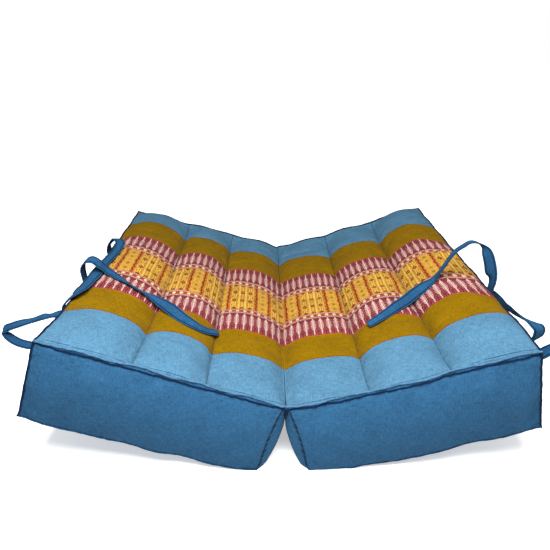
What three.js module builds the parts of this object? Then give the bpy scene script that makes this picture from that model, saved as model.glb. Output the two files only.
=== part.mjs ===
// A folding block cushion, opened into a shallow V: two filled blocks, sewn together along their top
// inner edges, and four cloth ties at the outer ends.
// Millimetres. X runs across both blocks, Y from front to back and Z up. The origin is on the floor,
// under the middle of the hinge.
import * as THREE from 'three';

// One block, seam to seam
const BLOCK_WIDTH = 300;
const BLOCK_DEPTH = 500;
const OUTER_THICKNESS = 100;
const HINGE_THICKNESS = 110;

// How the blocks lie: the hinge's height above the floor, and each block's tilt at its front and back end
const HINGE_HEIGHT = 99;
const TILT = {
  left: { side: -1, front: 17.8, back: 15.4 },
  right: { side: 1, front: 14.8, back: 17.7 },
};

// Sewn lines across the top of a block, from the hinge outwards: the distance from the hinge, and the
// height of the cloth there over the plane of the top seams, on the left and on the right block
const SEWN_LINES = [
  { at: 0, left: -5, right: -6 },
  { at: 100, left: -12, right: -18 },
  { at: 200, left: -8, right: -14 },
  { at: 300, left: 0, right: 2 },
];
// How far the lines were really sewn from their even places
const LINE_SHIFTS = { left: [0, -1.5, -10, -4], right: [0, 1.5, 2, 0] };
// Channels between the sewn lines: the height of the crest over the same plane
const CHANNELS = [
  { left: 2, right: -2 },
  { left: 6, right: 0 },
  { left: 11, right: 11 },
];
const CHANNEL_ROUNDNESS = 0.62;
const OUTER_EDGE_ROUNDNESS = { left: 0.62, right: 0.48 };
const END_ROUNDING = 62;

// Underside: the crests and dips of its channels, how far it sags between the ends, and how much further
// it reaches at the front and back than the top, which its sewn lines draw in
const UNDERSIDE_CREST = 7;
const UNDERSIDE_DIP = 2;
const UNDERSIDE_SAG = 6;
const UNDERSIDE_REACH = 6;
const UNDERSIDE_NARROWER = { left: -2.5, right: 7 };

// How the filling has settled: the height of the front seam, of the back seam and of the underside over
// their even places, every 50 mm from the hinge outwards
const SETTLED = {
  left: {
    front: [-1.5, -3, -3, -2, -0.5, 1, 3.5],
    back: [0, 4, 2, 5, 2, 6, 1],
    underside: [0, 0, 0, -3, -2, -6, -3],
  },
  right: {
    front: [-4, -8, -7.5, -9.5, -4.5, -1.5, -0.5],
    back: [0, -1, -3, -1, -5, 2, -5],
    underside: [-1, -3.5, -5, -10, -5.5, -8, -8],
  },
};
const SETTLED_REACH = 120;

// Boxing between the top and the underside: how far each panel swells, how far its seams draw in, and
// how steeply the swelling sets in across the thickness and towards a panel's ends
const FRONT_SWELL = 8;
const OUTER_SWELL = 10;
const HINGE_SWELL = 9;
const SWELL_ROUNDNESS = 0.7;
const PRESSED_ROUNDNESS = 0.5;
const PANEL_ROUNDNESS = 0.3;
const OUTER_ROUNDNESS = 0.6;
const HINGE_ROUNDNESS = 0.18;
const DRAW_IN_ROUNDNESS = 0.5;
const FRONT_DRAW_IN = 4;
const OUTER_DRAW_IN = { left: [7.5, 4.5], right: [1, 7] };

// Seams: a proud ridge with the cloth dipping beside it
const RIDGE = 2.2;
const GROOVE = 1.6;
const SEAM_WAVE = 1.4;
const SEAM_WAVELENGTH = 71;

// Where the faces are divided: parts of a channel's width, millimetres from the front seam to the middle
// of the depth, and parts of the thickness
const CHANNEL_STEPS = [0, 0.06, 0.2, 0.4, 0.6, 0.8, 0.94];
const DEPTH_STEPS = [0, 6, 18, 38, 62, 90, 122, 154, 186, 218, 250];
const HEIGHT_STEPS = [0, 0.06, 0.2, 0.4, 0.6, 0.8, 0.94, 1];

// Hinge strip: the seam allowance of the top cover, which hangs between the blocks
const STRIP_THICKNESS = 2;
const STRIP_DROP = 17;
const STRIP_TOP = -8.5;
const CLEARANCE = 0.3;

// Ties: flat straps of folded cloth
const TIE_THICKNESS = 2.4;
const TIE_STEP = 6;

// Routes of the ties over a block. out is the distance from the hinge, in is the distance from the front
// seam, up is the height over the plane of the top seams, and face is where the strap's upper side points,
// in the same three directions. A strap is narrower where it has rolled up. A tie's root is sewn to the
// outer panel, and lift is its distance there from the panel's even form, which flat facets take up.
const ROUTES = {
  tie_left_front: {
    block: 'left',
    root: { in: 186, up: -15, lift: 0, face: [1, 0, 0], width: 17 },
    rows: [
      { out: 303, in: 182, up: 6, face: [1, 0, 0.1], width: 17 },
      { out: 304, in: 179, up: 16, face: [1, 0, 0.5], width: 17 },
      { out: 300, in: 177, up: 26, face: [0.6, -0.1, 1], width: 17 },
      { out: 292, in: 178, up: 30, face: [-0.2, -0.2, 1], width: 17 },
      { out: 282, in: 180, up: 25, face: [-0.5, -0.3, 1], width: 17 },
      { out: 270, in: 185, up: 15, face: [-0.3, -0.2, 1], width: 17 },
      { out: 251, in: 173, up: 15, face: [-0.1, 0.1, 1], width: 15 },
      { out: 231, in: 161, up: 15, face: [0, 0.6, 0.9], width: 12 },
      { out: 215, in: 155, up: 13, face: [0, 0.5, 0.9], width: 11 },
      { out: 198, in: 154, up: 9, face: [0, -0.1, 1], width: 12 },
      { out: 183, in: 147, up: 8, face: [0, -0.6, 0.8], width: 15 },
      { out: 167, in: 130, up: 12, face: [0, -0.8, 0.7], width: 17 },
      { out: 150, in: 116, up: 12, face: [0, -0.6, 0.9], width: 16 },
      { out: 133, in: 108, up: 11, face: [0, -0.4, 1], width: 14 },
      { out: 114, in: 111, up: 4, face: [0, -0.3, 1], width: 12 },
      { out: 95, in: 124, up: -3, face: [0, -0.3, 1], width: 11 },
    ],
  },
  tie_left_back: {
    block: 'left',
    root: { in: 314, up: -15, lift: 1.1, face: [1, 0, 0], width: 17 },
    rows: [
      { out: 301, in: 308, up: -5, face: [1, 0, 0.2], width: 17 },
      { out: 297, in: 303, up: 8, face: [1, 0.3, 0.4], width: 17 },
      { out: 289, in: 298, up: 18, face: [0.3, 0.5, 1], width: 16 },
      { out: 280, in: 287, up: 19, face: [0, -0.5, 1], width: 15 },
      { out: 279, in: 273, up: 13, face: [0.1, -0.3, 1], width: 14 },
      { out: 280, in: 243, up: 12, face: [0.2, -0.1, 1], width: 14 },
      { out: 282, in: 220, up: 12, face: [0.2, 0, 1], width: 15 },
      { out: 283, in: 186, up: 12, face: [0.2, 0, 1], width: 17 },
      { out: 284, in: 153, up: 11, face: [0.3, 0, 1], width: 17 },
      { out: 286, in: 124, up: 11, face: [0.4, 0, 1], width: 17 },
      { out: 289, in: 106, up: 11, face: [0.8, 0, 1], width: 15 },
      { out: 295, in: 102, up: 3, face: [1, 0, 0.7], width: 13 },
      { out: 299, in: 100, up: -6, face: [1, 0, 0.2], width: 13 },
      { out: 300, in: 98, up: -16, face: [1, -0.2, 0.2], width: 13 },
      { out: 308, in: 96, up: -22, face: [0.8, -0.3, 0.5], width: 13 },
      { out: 318, in: 90, up: -24, face: [0.4, -0.3, 1], width: 12 },
      { out: 333, in: 90, up: -35, face: [0.3, -0.3, 1], width: 11 },
      { out: 344, in: 88, up: -41, face: [0.3, -0.6, 1], width: 11 },
      { out: 355, in: 86, up: -48, face: [0.6, -0.6, 0.7], width: 12 },
      { out: 365, in: 85, up: -58, face: [1, -0.5, -0.4], width: 12 },
      { out: 357, in: 84, up: -64, face: [-0.2, -0.8, -0.8], width: 12 },
      { out: 346, in: 84, up: -69, face: [-0.5, -0.8, -0.8], width: 12 },
      { out: 336, in: 85, up: -71, face: [-0.5, -0.8, -0.8], width: 12 },
      { out: 326, in: 87, up: -71, face: [-0.7, -0.5, -0.6], width: 13 },
      { out: 320, in: 97, up: -72, face: [-1, -0.3, -0.3], width: 14 },
    ],
  },
  tie_right_front: {
    block: 'right',
    root: { in: 154, up: -15, lift: -0.6, face: [1, 0, 0], width: 17 },
    rows: [
      { out: 307, in: 152, up: 2, face: [1, 0, 0], width: 17 },
      { out: 309, in: 151, up: 12, face: [1, 0.3, 0], width: 17 },
      { out: 308, in: 151, up: 24, face: [0.7, 1, 0], width: 17 },
      { out: 308, in: 152, up: 37, face: [0.5, 1, 0.1], width: 16 },
      { out: 307, in: 154, up: 50, face: [0.5, 1, 0.2], width: 15 },
      { out: 305, in: 158, up: 60, face: [0.6, 0.8, 0.8], width: 13 },
      { out: 298, in: 163, up: 67, face: [0.2, 0.3, 1], width: 11 },
      { out: 290, in: 168, up: 68, face: [0, 0, 1], width: 11 },
      { out: 283, in: 171, up: 64, face: [-0.4, -0.1, 1], width: 11 },
      { out: 274, in: 175, up: 58, face: [-0.5, -0.1, 1], width: 11 },
      { out: 268, in: 178, up: 52, face: [-0.6, -0.1, 0.9], width: 11 },
      { out: 261, in: 181, up: 42, face: [-0.8, 0, 0.8], width: 11 },
      { out: 254, in: 184, up: 32, face: [-0.8, 0.1, 0.8], width: 11 },
      { out: 245, in: 186, up: 21, face: [-0.7, 0.1, 0.8], width: 12 },
      { out: 237, in: 187, up: 13, face: [-0.4, -0.1, 1], width: 13 },
      { out: 228, in: 183, up: 11, face: [-0.1, -0.4, 1], width: 15 },
      { out: 216, in: 179, up: 8, face: [0, -0.6, 1], width: 17 },
      { out: 204, in: 176, up: 4, face: [0, -0.7, 0.8], width: 17 },
      { out: 188, in: 166, up: 2, face: [0, -0.7, 0.8], width: 17 },
      { out: 172, in: 151, up: 6, face: [0, -0.7, 0.8], width: 16 },
      { out: 156, in: 140, up: 6, face: [0, -0.6, 0.9], width: 14 },
      { out: 140, in: 132, up: 5, face: [0, -0.5, 1], width: 12 },
      { out: 125, in: 128, up: 2, face: [0, -0.4, 1], width: 11 },
    ],
  },
  tie_right_back: {
    block: 'right',
    root: { in: 322, up: -27, lift: 0.4, face: [1, 0, 0], width: 17 },
    rows: [
      { out: 307, in: 306, up: -29, face: [1, 0, 0.05], width: 17 },
      { out: 308, in: 280, up: -30, face: [1, 0, 0.1], width: 17 },
      { out: 308, in: 245, up: -30, face: [1, 0, 0.1], width: 17 },
      { out: 308, in: 210, up: -29, face: [1, 0, 0.1], width: 17 },
      { out: 309, in: 178, up: -24, face: [1, 0, 0.1], width: 16 },
      { out: 310, in: 141, up: -11, face: [1, 0, 0], width: 13 },
      { out: 311, in: 115, up: -11, face: [1, 0, 0], width: 12 },
      { out: 312, in: 96, up: -8, face: [1, 0, 0.2], width: 13 },
      { out: 312, in: 76, up: -3, face: [1, 0, 0.6], width: 14 },
      { out: 314, in: 61, up: 0, face: [0.7, 0, 1], width: 15 },
      { out: 317, in: 50, up: 0, face: [0.4, -0.3, 1], width: 15 },
      { out: 320, in: 43, up: -3, face: [0.2, -1, 0.5], width: 15 },
      { out: 318, in: 43, up: -12, face: [0.2, -1, 0], width: 15 },
      { out: 312, in: 48, up: -24, face: [0.5, -0.8, 0], width: 15 },
      { out: 310, in: 49, up: -34, face: [1, -0.3, 0], width: 15 },
      { out: 310, in: 50, up: -43, face: [1, 0, 0.3], width: 15 },
      { out: 315, in: 50, up: -49, face: [0.6, 0, 1], width: 16 },
      { out: 324, in: 51, up: -49, face: [0, -0.2, 1], width: 16 },
      { out: 335, in: 53, up: -47, face: [-0.1, -0.3, 1], width: 16 },
      { out: 348, in: 54, up: -46, face: [-0.1, -0.3, 1], width: 16 },
      { out: 369, in: 56, up: -52, face: [0.2, -0.2, 1], width: 16 },
    ],
  },
};

const COTTON_BLUE = new THREE.MeshStandardMaterial({ color: 0x4a80ab, roughness: 0.92, metalness: 0 });
const COTTON_TIE = new THREE.MeshStandardMaterial({ color: 0x35669a, roughness: 0.9, metalness: 0 });
const COTTON_STRIP = new THREE.MeshStandardMaterial({ color: 0x1f4a72, roughness: 0.95, metalness: 0 });

const { lerp, clamp, degToRad } = THREE.MathUtils;

// 0 at both ends and 1 in the middle; a roundness under 1 makes the ends steep, as filled cloth is
function swell(part, roundness) {
  return Math.pow(clamp(4 * part * (1 - part), 0, 1), roundness);
}

// How much of its full relief the top has at a place along the depth: none at the front and back seams
function reliefAt(depth) {
  const fromSeam = clamp(Math.min(depth, BLOCK_DEPTH - depth) / END_ROUNDING, 0, 1);
  return Math.sqrt(1 - (1 - fromSeam) ** 2);
}

function seamWave(along, phase) {
  return SEAM_WAVE * Math.sin((2 * Math.PI * along) / SEAM_WAVELENGTH + phase);
}

function thicknessAt(out) {
  return lerp(HINGE_THICKNESS, OUTER_THICKNESS, out / BLOCK_WIDTH);
}

// A value from a list of seven, every 50 mm from the hinge outwards
function settledAt(list, out) {
  const place = clamp((out / BLOCK_WIDTH) * (list.length - 1), 0, list.length - 1);
  const before = Math.min(Math.floor(place), list.length - 2);
  return lerp(list[before], list[before + 1], THREE.MathUtils.smoothstep(place - before, 0, 1));
}

// How far a point has settled from its even place
function settled(block, out, depth, height) {
  const { front, back, underside } = SETTLED[block];
  const nearFront = clamp(1 - depth / SETTLED_REACH, 0, 1) ** 2;
  const nearBack = clamp(1 - (BLOCK_DEPTH - depth) / SETTLED_REACH, 0, 1) ** 2;
  const top = settledAt(front, out) * nearFront + settledAt(back, out) * nearBack;
  const bottom = settledAt(underside, out) * (1 - (0.5 * depth) / BLOCK_DEPTH);
  return lerp(bottom, top, height);
}

// How far a point lies from its even place because of the lines beside it
function lineShift(block, out) {
  const shifts = LINE_SHIFTS[block];
  const place = (out / BLOCK_WIDTH) * (shifts.length - 1);
  const before = Math.min(Math.floor(place), shifts.length - 2);
  return lerp(shifts[before], shifts[before + 1], place - before);
}

// Height of the top cloth over the plane of the top seams
function topHeight(block, out, depth) {
  const last = CHANNELS.length - 1;
  const index = clamp(Math.floor((out / BLOCK_WIDTH) * CHANNELS.length), 0, last);
  const from = SEWN_LINES[index];
  const to = SEWN_LINES[index + 1];
  const part = clamp((out - from.at) / (to.at - from.at), 0, 1);
  const valley = lerp(from[block], to[block], part);
  const rise = CHANNELS[index][block] - (from[block] + to[block]) / 2;
  const atEdge = index === last && part > 0.5;
  const roundness = atEdge ? OUTER_EDGE_ROUNDNESS[block] : CHANNEL_ROUNDNESS;
  return (valley + rise * swell(part, roundness)) * reliefAt(depth);
}

// Depth of the underside's cloth under the plane of the bottom seams
function undersideDrop(out, depth) {
  const part = ((out / BLOCK_WIDTH) * CHANNELS.length) % 1;
  const crest = lerp(UNDERSIDE_DIP, UNDERSIDE_CREST, swell(part, CHANNEL_ROUNDNESS));
  return crest * reliefAt(depth) * swell(out / BLOCK_WIDTH, PANEL_ROUNDNESS);
}

// How far the outer panel stands beyond its even place, at a part of the thickness and of the depth
function outerPanel(block, height, depth) {
  const [atFront, atBack] = OUTER_DRAW_IN[block];
  const part = depth / BLOCK_DEPTH;
  const drawn = lerp(atFront, atBack, part) * swell(part, DRAW_IN_ROUNDNESS);
  const swollen = OUTER_SWELL * swell(height, SWELL_ROUNDNESS)
    * swell(part, OUTER_ROUNDNESS);
  return swollen - drawn - UNDERSIDE_NARROWER[block] * (1 - height);
}

// A point given as out, in and up over a block, in the object's own frame
function onBlock(block, out, depth, up) {
  const { side, front, back } = TILT[block];
  const tilt = degToRad(lerp(front, back, depth / BLOCK_DEPTH));
  return new THREE.Vector3(
    side * (out * Math.cos(tilt) - up * Math.sin(tilt)),
    depth - BLOCK_DEPTH / 2,
    HINGE_HEIGHT + out * Math.sin(tilt) + up * Math.cos(tilt),
  );
}

// The same for a direction
function alongBlock(block, depth, direction) {
  const { side, front, back } = TILT[block];
  const tilt = degToRad(lerp(front, back, depth / BLOCK_DEPTH));
  const outward = new THREE.Vector3(side * Math.cos(tilt), 0, Math.sin(tilt));
  const upward = new THREE.Vector3(-side * Math.sin(tilt), 0, Math.cos(tilt));
  return outward.multiplyScalar(direction[0])
    .add(new THREE.Vector3(0, direction[1], 0))
    .addScaledVector(upward, direction[2]);
}

// A box whose grid lines lie at the given places, moved point by point
function displacedBox(places, move) {
  const [xs, ys, zs] = places;
  const box = new THREE.BoxGeometry(1, 1, 1, xs.length - 1, ys.length - 1, zs.length - 1);
  const points = box.getAttribute('position');
  const indexOf = (value, list) => Math.round((value + 0.5) * (list.length - 1));
  for (let n = 0; n < points.count; n += 1) {
    const i = indexOf(points.getX(n), xs);
    const j = indexOf(points.getY(n), ys);
    const k = indexOf(points.getZ(n), zs);
    const moved = move(i, j, k);
    points.setXYZ(n, moved.x, moved.y, moved.z);
  }
  return box;
}

// A left-handed frame turns each face round, so the triangles are turned back
function turnedRound(geometry) {
  const index = geometry.getIndex();
  for (let n = 0; n < index.count; n += 3) {
    const second = index.getX(n + 1);
    index.setX(n + 1, index.getX(n + 2));
    index.setX(n + 2, second);
  }
  return geometry;
}

// One filled block
function blockGeometry(block) {
  const { side } = TILT[block];
  const outs = CHANNELS.flatMap((_, c) => CHANNEL_STEPS.map(
    (part) => lerp(SEWN_LINES[c].at, SEWN_LINES[c + 1].at, part)));
  outs.push(BLOCK_WIDTH);
  const depths = [...DEPTH_STEPS, ...DEPTH_STEPS.slice(0, -1).reverse().map((d) => BLOCK_DEPTH - d)];
  const heights = HEIGHT_STEPS;
  const ends = { i: outs.length - 1, j: depths.length - 1, k: heights.length - 1 };

  const move = (i, j, k) => {
    let out = outs[i];
    let depth = depths[j];
    const height = heights[k];
    let up = -thicknessAt(out) * (1 - height);
    const onHinge = i === 0;
    const onOuter = i === ends.i;
    const onFront = j === 0;
    const onBack = j === ends.j;
    const onTop = k === ends.k;
    const onBottom = k === 0;

    // Top and underside
    if (onTop) up += topHeight(block, outs[i], depths[j]);
    if (onBottom) up -= undersideDrop(outs[i], depths[j]);
    up -= UNDERSIDE_SAG * swell(outs[i] / BLOCK_WIDTH, 1) * (1 - height);
    up += settled(block, outs[i], depths[j], height);

    // Panels of the boxing
    const acrossPart = outs[i] / BLOCK_WIDTH;
    const frontOut = FRONT_SWELL * swell(height, SWELL_ROUNDNESS) * swell(acrossPart, PANEL_ROUNDNESS)
      + UNDERSIDE_REACH * (1 - height) - FRONT_DRAW_IN * swell(acrossPart, 1);
    const outward = outerPanel(block, height, depths[j]);
    const toFront = 1 - (2 * depths[j]) / BLOCK_DEPTH;
    depth -= frontOut * toFront;
    out += outward * acrossPart + lineShift(block, outs[i]);
    const hingeOut = HINGE_SWELL * swell(height, PRESSED_ROUNDNESS)
      * swell(depths[j] / BLOCK_DEPTH, HINGE_ROUNDNESS);
    out -= hingeOut * (1 - acrossPart) ** 2;

    // Seams: the corner of two faces is a ridge, and the cloth next to it dips
    const ridgeOut = onOuter ? 1 : onHinge ? -1 : 0;
    const ridgeDepth = onBack ? 1 : onFront ? -1 : 0;
    const ridgeUp = onTop ? 1 : onBottom ? -1 : 0;
    const faces = Math.abs(ridgeOut) + Math.abs(ridgeDepth) + Math.abs(ridgeUp);
    const atCrease = onHinge && onTop;
    if (faces > 1 && !atCrease) {
      out += RIDGE * ridgeOut;
      depth += RIDGE * ridgeDepth;
      up += RIDGE * ridgeUp + seamWave(outs[i] + depths[j], side * (1 + height));
    }
    const besideSeam = i === 1 || i === ends.i - 1 || j === 1 || j === ends.j - 1 || k === 1
      || k === ends.k - 1;
    if (faces === 1 && besideSeam) {
      out -= GROOVE * ridgeOut;
      depth -= GROOVE * ridgeDepth;
      up -= GROOVE * ridgeUp;
    }

    // The blocks press against the hinge strip, and against the floor
    const point = onBlock(block, out, depth, up);
    const nearest = STRIP_THICKNESS / 2 + CLEARANCE;
    point.x = side * Math.max(side * point.x, nearest);
    point.z = Math.max(point.z, 0);
    return point;
  };
  const geometry = displacedBox([outs, depths, heights], move);
  return side < 0 ? turnedRound(geometry) : geometry;
}

// Points along a strap, with the directions across it and through it
function strapFrames(name) {
  const { block, root, rows } = ROUTES[name];
  const seat = TIE_THICKNESS / 2 + root.lift + lineShift(block, BLOCK_WIDTH);
  const rootOut = BLOCK_WIDTH + outerPanel(block, 1 + root.up / OUTER_THICKNESS, root.in) + seat;
  const route = [{ out: rootOut, ...root }, ...rows];
  const path = new THREE.CatmullRomCurve3(
    route.map((row) => onBlock(block, row.out, row.in, row.up)), false, 'centripetal');
  const steps = Math.round(path.getLength() / TIE_STEP);
  const frames = [];
  for (let n = 0; n <= steps; n += 1) {
    const at = path.getUtoTmapping(n / steps);
    const place = at * (route.length - 1);
    const before = Math.min(Math.floor(place), route.length - 2);
    const [from, to] = [route[before], route[before + 1]];
    const part = place - before;
    const faceOf = (row) => alongBlock(block, row.in, row.face).normalize();
    const face = faceOf(from).lerp(faceOf(to), part);
    const tangent = path.getTangent(at);
    const across = new THREE.Vector3().crossVectors(tangent, face).normalize();
    const through = new THREE.Vector3().crossVectors(across, tangent).normalize();
    frames.push({ centre: path.getPoint(at), across, through, width: lerp(from.width, to.width, part) });
  }
  return frames;
}

function tieGeometry(name) {
  const frames = strapFrames(name);
  const sides = [-1, 0, 1];
  const thicknesses = [-TIE_THICKNESS / 2, TIE_THICKNESS / 2];
  const move = (i, j, k) => {
    const { centre, across, through, width } = frames[j];
    return centre.clone()
      .addScaledVector(across, (sides[i] * width) / 2)
      .addScaledVector(through, thicknesses[k]);
  };
  return displacedBox([sides, frames, thicknesses], move);
}

// The strip between the blocks, as long as the seam it hangs from
function stripGeometry() {
  const length = BLOCK_DEPTH - 4 * FRONT_DRAW_IN;
  return new THREE.BoxGeometry(STRIP_THICKNESS, length, STRIP_DROP);
}

function named(name, geometry, material) {
  const mesh = new THREE.Mesh(geometry, material);
  mesh.name = name;
  return mesh;
}

const cushion = new THREE.Group();

for (const block of ['left', 'right']) {
  const half = new THREE.Group();
  half.add(named(`block_${block}`, blockGeometry(block), COTTON_BLUE));
  for (const name of Object.keys(ROUTES).filter((key) => ROUTES[key].block === block)) {
    half.add(named(name, tieGeometry(name), COTTON_TIE));
  }
  cushion.add(half);
}

const strip = named('hinge_strip', stripGeometry(), COTTON_STRIP);
strip.position.z = HINGE_HEIGHT + STRIP_TOP - STRIP_DROP / 2;
cushion.add(strip);

export default cushion;
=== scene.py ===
# %% [markdown]
# # A folding block cushion, opened into a shallow V
# The object is a filled seat cushion of two long blocks. A woven cloth runs over the tops of both, and
# the blocks are joined along their top inner edges, so the cushion folds like a book. Each block has two
# sewn lines that part it into three channels, and two cloth ties on its outer edge.
#
# Every piece below lies in that model's frame: metres, X across the two blocks, Y from front to back and
# Z up, with the floor at zero.

# %% Load the solid model
import math

import bpy
import numpy as np
from mathutils import Matrix, Vector
from mathutils.bvhtree import BVHTree


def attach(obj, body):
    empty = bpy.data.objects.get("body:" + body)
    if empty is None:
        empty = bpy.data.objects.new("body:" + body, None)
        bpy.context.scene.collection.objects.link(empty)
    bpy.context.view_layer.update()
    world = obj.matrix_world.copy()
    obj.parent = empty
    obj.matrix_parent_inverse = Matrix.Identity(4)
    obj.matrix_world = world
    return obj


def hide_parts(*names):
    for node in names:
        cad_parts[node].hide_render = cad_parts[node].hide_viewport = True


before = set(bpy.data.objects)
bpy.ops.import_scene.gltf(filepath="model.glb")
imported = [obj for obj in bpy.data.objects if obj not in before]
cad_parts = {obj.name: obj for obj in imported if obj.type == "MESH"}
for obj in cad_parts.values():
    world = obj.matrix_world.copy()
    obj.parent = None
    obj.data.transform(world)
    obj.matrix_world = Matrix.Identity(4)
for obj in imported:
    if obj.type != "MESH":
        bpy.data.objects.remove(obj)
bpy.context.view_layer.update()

scene = bpy.context.scene

# %% [markdown]
# ## Camera
# The photograph was taken from in front and a little above, at the height of a person who sits on a
# chair. The place, the turn and the focal length were found from the corners of both blocks, so the
# render can be laid over the photograph.

# %% Camera
CAMERA_PLACE = Vector((-0.0217, -0.7150, 0.4941))
CAMERA_YAW = math.radians(0.95)
CAMERA_PITCH = math.radians(25.43)
CAMERA_ROLL = math.radians(0.34)
FOCAL_PIXELS = 490.7
PHOTO_PIXELS = 550
SENSOR_WIDTH = 36.0

forward = Vector((
    math.sin(CAMERA_YAW) * math.cos(CAMERA_PITCH),
    math.cos(CAMERA_YAW) * math.cos(CAMERA_PITCH),
    -math.sin(CAMERA_PITCH),
))
level = Vector((math.cos(CAMERA_YAW), -math.sin(CAMERA_YAW), 0.0))
upright = level.cross(forward)
right = math.cos(CAMERA_ROLL) * level + math.sin(CAMERA_ROLL) * upright
above = -math.sin(CAMERA_ROLL) * level + math.cos(CAMERA_ROLL) * upright
turn = Matrix((right, above, -forward)).transposed()

camera_data = bpy.data.cameras.new("photo_camera")
camera_data.sensor_width = SENSOR_WIDTH
camera_data.lens = FOCAL_PIXELS * SENSOR_WIDTH / PHOTO_PIXELS
camera_data.clip_start = 0.02
camera = bpy.data.objects.new("photo_camera", camera_data)
camera.matrix_world = Matrix.Translation(CAMERA_PLACE) @ turn.to_4x4()
scene.collection.objects.link(camera)
scene.camera = camera
print("focal length", round(camera_data.lens, 2), "mm")

# %% [markdown]
# ## Colours and nodes
# Every colour is written as it looks on a screen, and one function turns it into the linear values that
# shaders work in. One small function adds a node, sets it and links it, and is used for all the trees.

# %% Colour and node helpers
def linear(code):
    """The linear values of an sRGB colour such as "a77e03"."""
    values = [int(code[n:n + 2], 16) / 255 for n in (0, 2, 4)]
    return [v / 12.92 if v <= 0.04045 else ((v + 0.055) / 1.055) ** 2.4 for v in values] + [1.0]


def add(tree, kind, settings=None, links=None):
    """A new node of one kind. links gives a socket's value, or the socket that feeds it."""
    node = tree.nodes.new(kind)
    for name, value in (settings or {}).items():
        setattr(node, name, value)
    for name, value in (links or {}).items():
        if isinstance(value, bpy.types.NodeSocket):
            tree.links.new(value, node.inputs[name])
        else:
            node.inputs[name].default_value = value
    return node


# %% [markdown]
# ## The form of a block
# Each block is a filled case: the seams hold its edges, the sewn lines hold the valleys across its top,
# and the filling pushes the cloth out everywhere else. The same named sizes shape the solid model, so the
# cloth starts from the solid's own form. Sizes here are millimetres, because cloth is cut in millimetres.
#
# A regular grid of squares is laid over the six faces. It could also be a remeshed blob, but on a grid
# the seams are real rows of points that can be held, and cloth runs along the squares as threads do.

# %% Sizes of a block
CHANNEL_WIDTH = 100
# The hinge's edge, the two sewn lines and the outer edge
LINES_AT = tuple(CHANNEL_WIDTH * line for line in range(4))
BLOCK_WIDTH = LINES_AT[-1]
# Just inside the outer edge, so that a place there still belongs to the last channel
INSIDE_WIDTH = 299.999
BLOCK_DEPTH = 500
OUTER_THICKNESS = 100
HINGE_THICKNESS = 110
HINGE_HEIGHT = 99
# The side of the hinge that a block lies on, and its tilt in degrees at the front and at the back
TILT = {
    "left": (-1, 17.8, 15.4),
    "right": (1, 14.8, 17.7),
}

# Top: heights of the four lines and the three crests, and how far the lines stray outwards
LINE_HEIGHTS = {"left": (-5, -12, -8, 0), "right": (-6, -18, -14, 2)}
LINE_SHIFTS = {"left": (0, -1.5, -10, -4), "right": (0, 1.5, 2, 0)}
CREST_HEIGHTS = {"left": (2, 6, 11), "right": (-2, 0, 11)}
CHANNEL_ROUNDNESS = 0.62
OUTER_EDGE_ROUNDNESS = {"left": 0.62, "right": 0.48}
END_ROUNDING = 62

# Underside: how far it swells, sags and reaches forwards, and how much narrower it is than the top
UNDERSIDE_CREST = 7
UNDERSIDE_DIP = 2
UNDERSIDE_SAG = 6
UNDERSIDE_REACH = 6
UNDERSIDE_NARROWER = {"left": -2.5, "right": 7}

# Panels round the sides: how far each swells, how full its ends are, and how far its middle is drawn in
FRONT_SWELL = 8
OUTER_SWELL = 10
HINGE_SWELL = 9
SWELL_ROUNDNESS = 0.7
PRESSED_ROUNDNESS = 0.5
PANEL_ROUNDNESS = 0.3
OUTER_ROUNDNESS = 0.6
HINGE_ROUNDNESS = 0.18
DRAW_IN_ROUNDNESS = 0.5
FRONT_DRAW_IN = 4
OUTER_DRAW_IN = {"left": (7.5, 4.5), "right": (1, 7)}

# Seams: their ridge and wave, and the ears at the bottom outer corners, front and back
RIDGE = 0.9
SEAM_WAVE = 1.4
SEAM_WAVELENGTH = 71
CORNER_EARS = {"left": (2.5, 2.0), "right": (1.5, 1.5)}
EAR_OUTWARD = 0.7
EAR_FORWARD = 0.5

# How the filling has settled, every 50 mm from the hinge outwards
SETTLED_EVERY = 50
SETTLED_REACH = 120
# The underside has settled by this share less at the back
LESS_AT_BACK = 0.5
SETTLED = {
    "left": {
        "front": (-1.5, -3, -3, -2, -0.5, 1, 3.5),
        "back": (0, 4, 2, 5, 2, 6, 1),
        "underside": (0, 0, 0, -3, -2, -6, -3),
    },
    "right": {
        "front": (-4, -8, -7.5, -9.5, -4.5, -1.5, -0.5),
        "back": (0, -1, -3, -1, -5, 2, -5),
        "underside": (-1, -3.5, -5, -10, -5.5, -8, -8),
    },
}


# %% How the cloth lies
def swell(part, roundness):
    """0 at both ends and 1 in the middle. A roundness under 1 makes the ends steep."""
    return np.clip(4 * part * (1 - part), 0, 1) ** roundness


def relief_at(depth):
    """How much of its relief the top has at a depth: none at the front and back seams."""
    from_seam = np.clip(np.minimum(depth, BLOCK_DEPTH - depth) / END_ROUNDING, 0, 1)
    return np.sqrt(1 - (1 - from_seam) ** 2)


def top_height(block, out, depth):
    """Height of the top cloth over the plane of the top seams."""
    channel = np.clip((out / CHANNEL_WIDTH).astype(int), 0, 2)
    part = np.clip(out / CHANNEL_WIDTH - channel, 0, 1)
    lines = np.array(LINE_HEIGHTS[block], float)
    crests = np.array(CREST_HEIGHTS[block], float)
    start = lines[channel]
    end = lines[channel + 1]
    valley = start + (end - start) * part
    rise = crests[channel] - (start + end) / 2
    roundness = np.where((channel == 2) & (part > 0.5), OUTER_EDGE_ROUNDNESS[block], CHANNEL_ROUNDNESS)
    return (valley + rise * swell(part, roundness)) * relief_at(depth)


def line_shift(block, out):
    """How far a place lies from its even place because of the lines beside it."""
    return np.interp(out, LINES_AT, LINE_SHIFTS[block])


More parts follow.
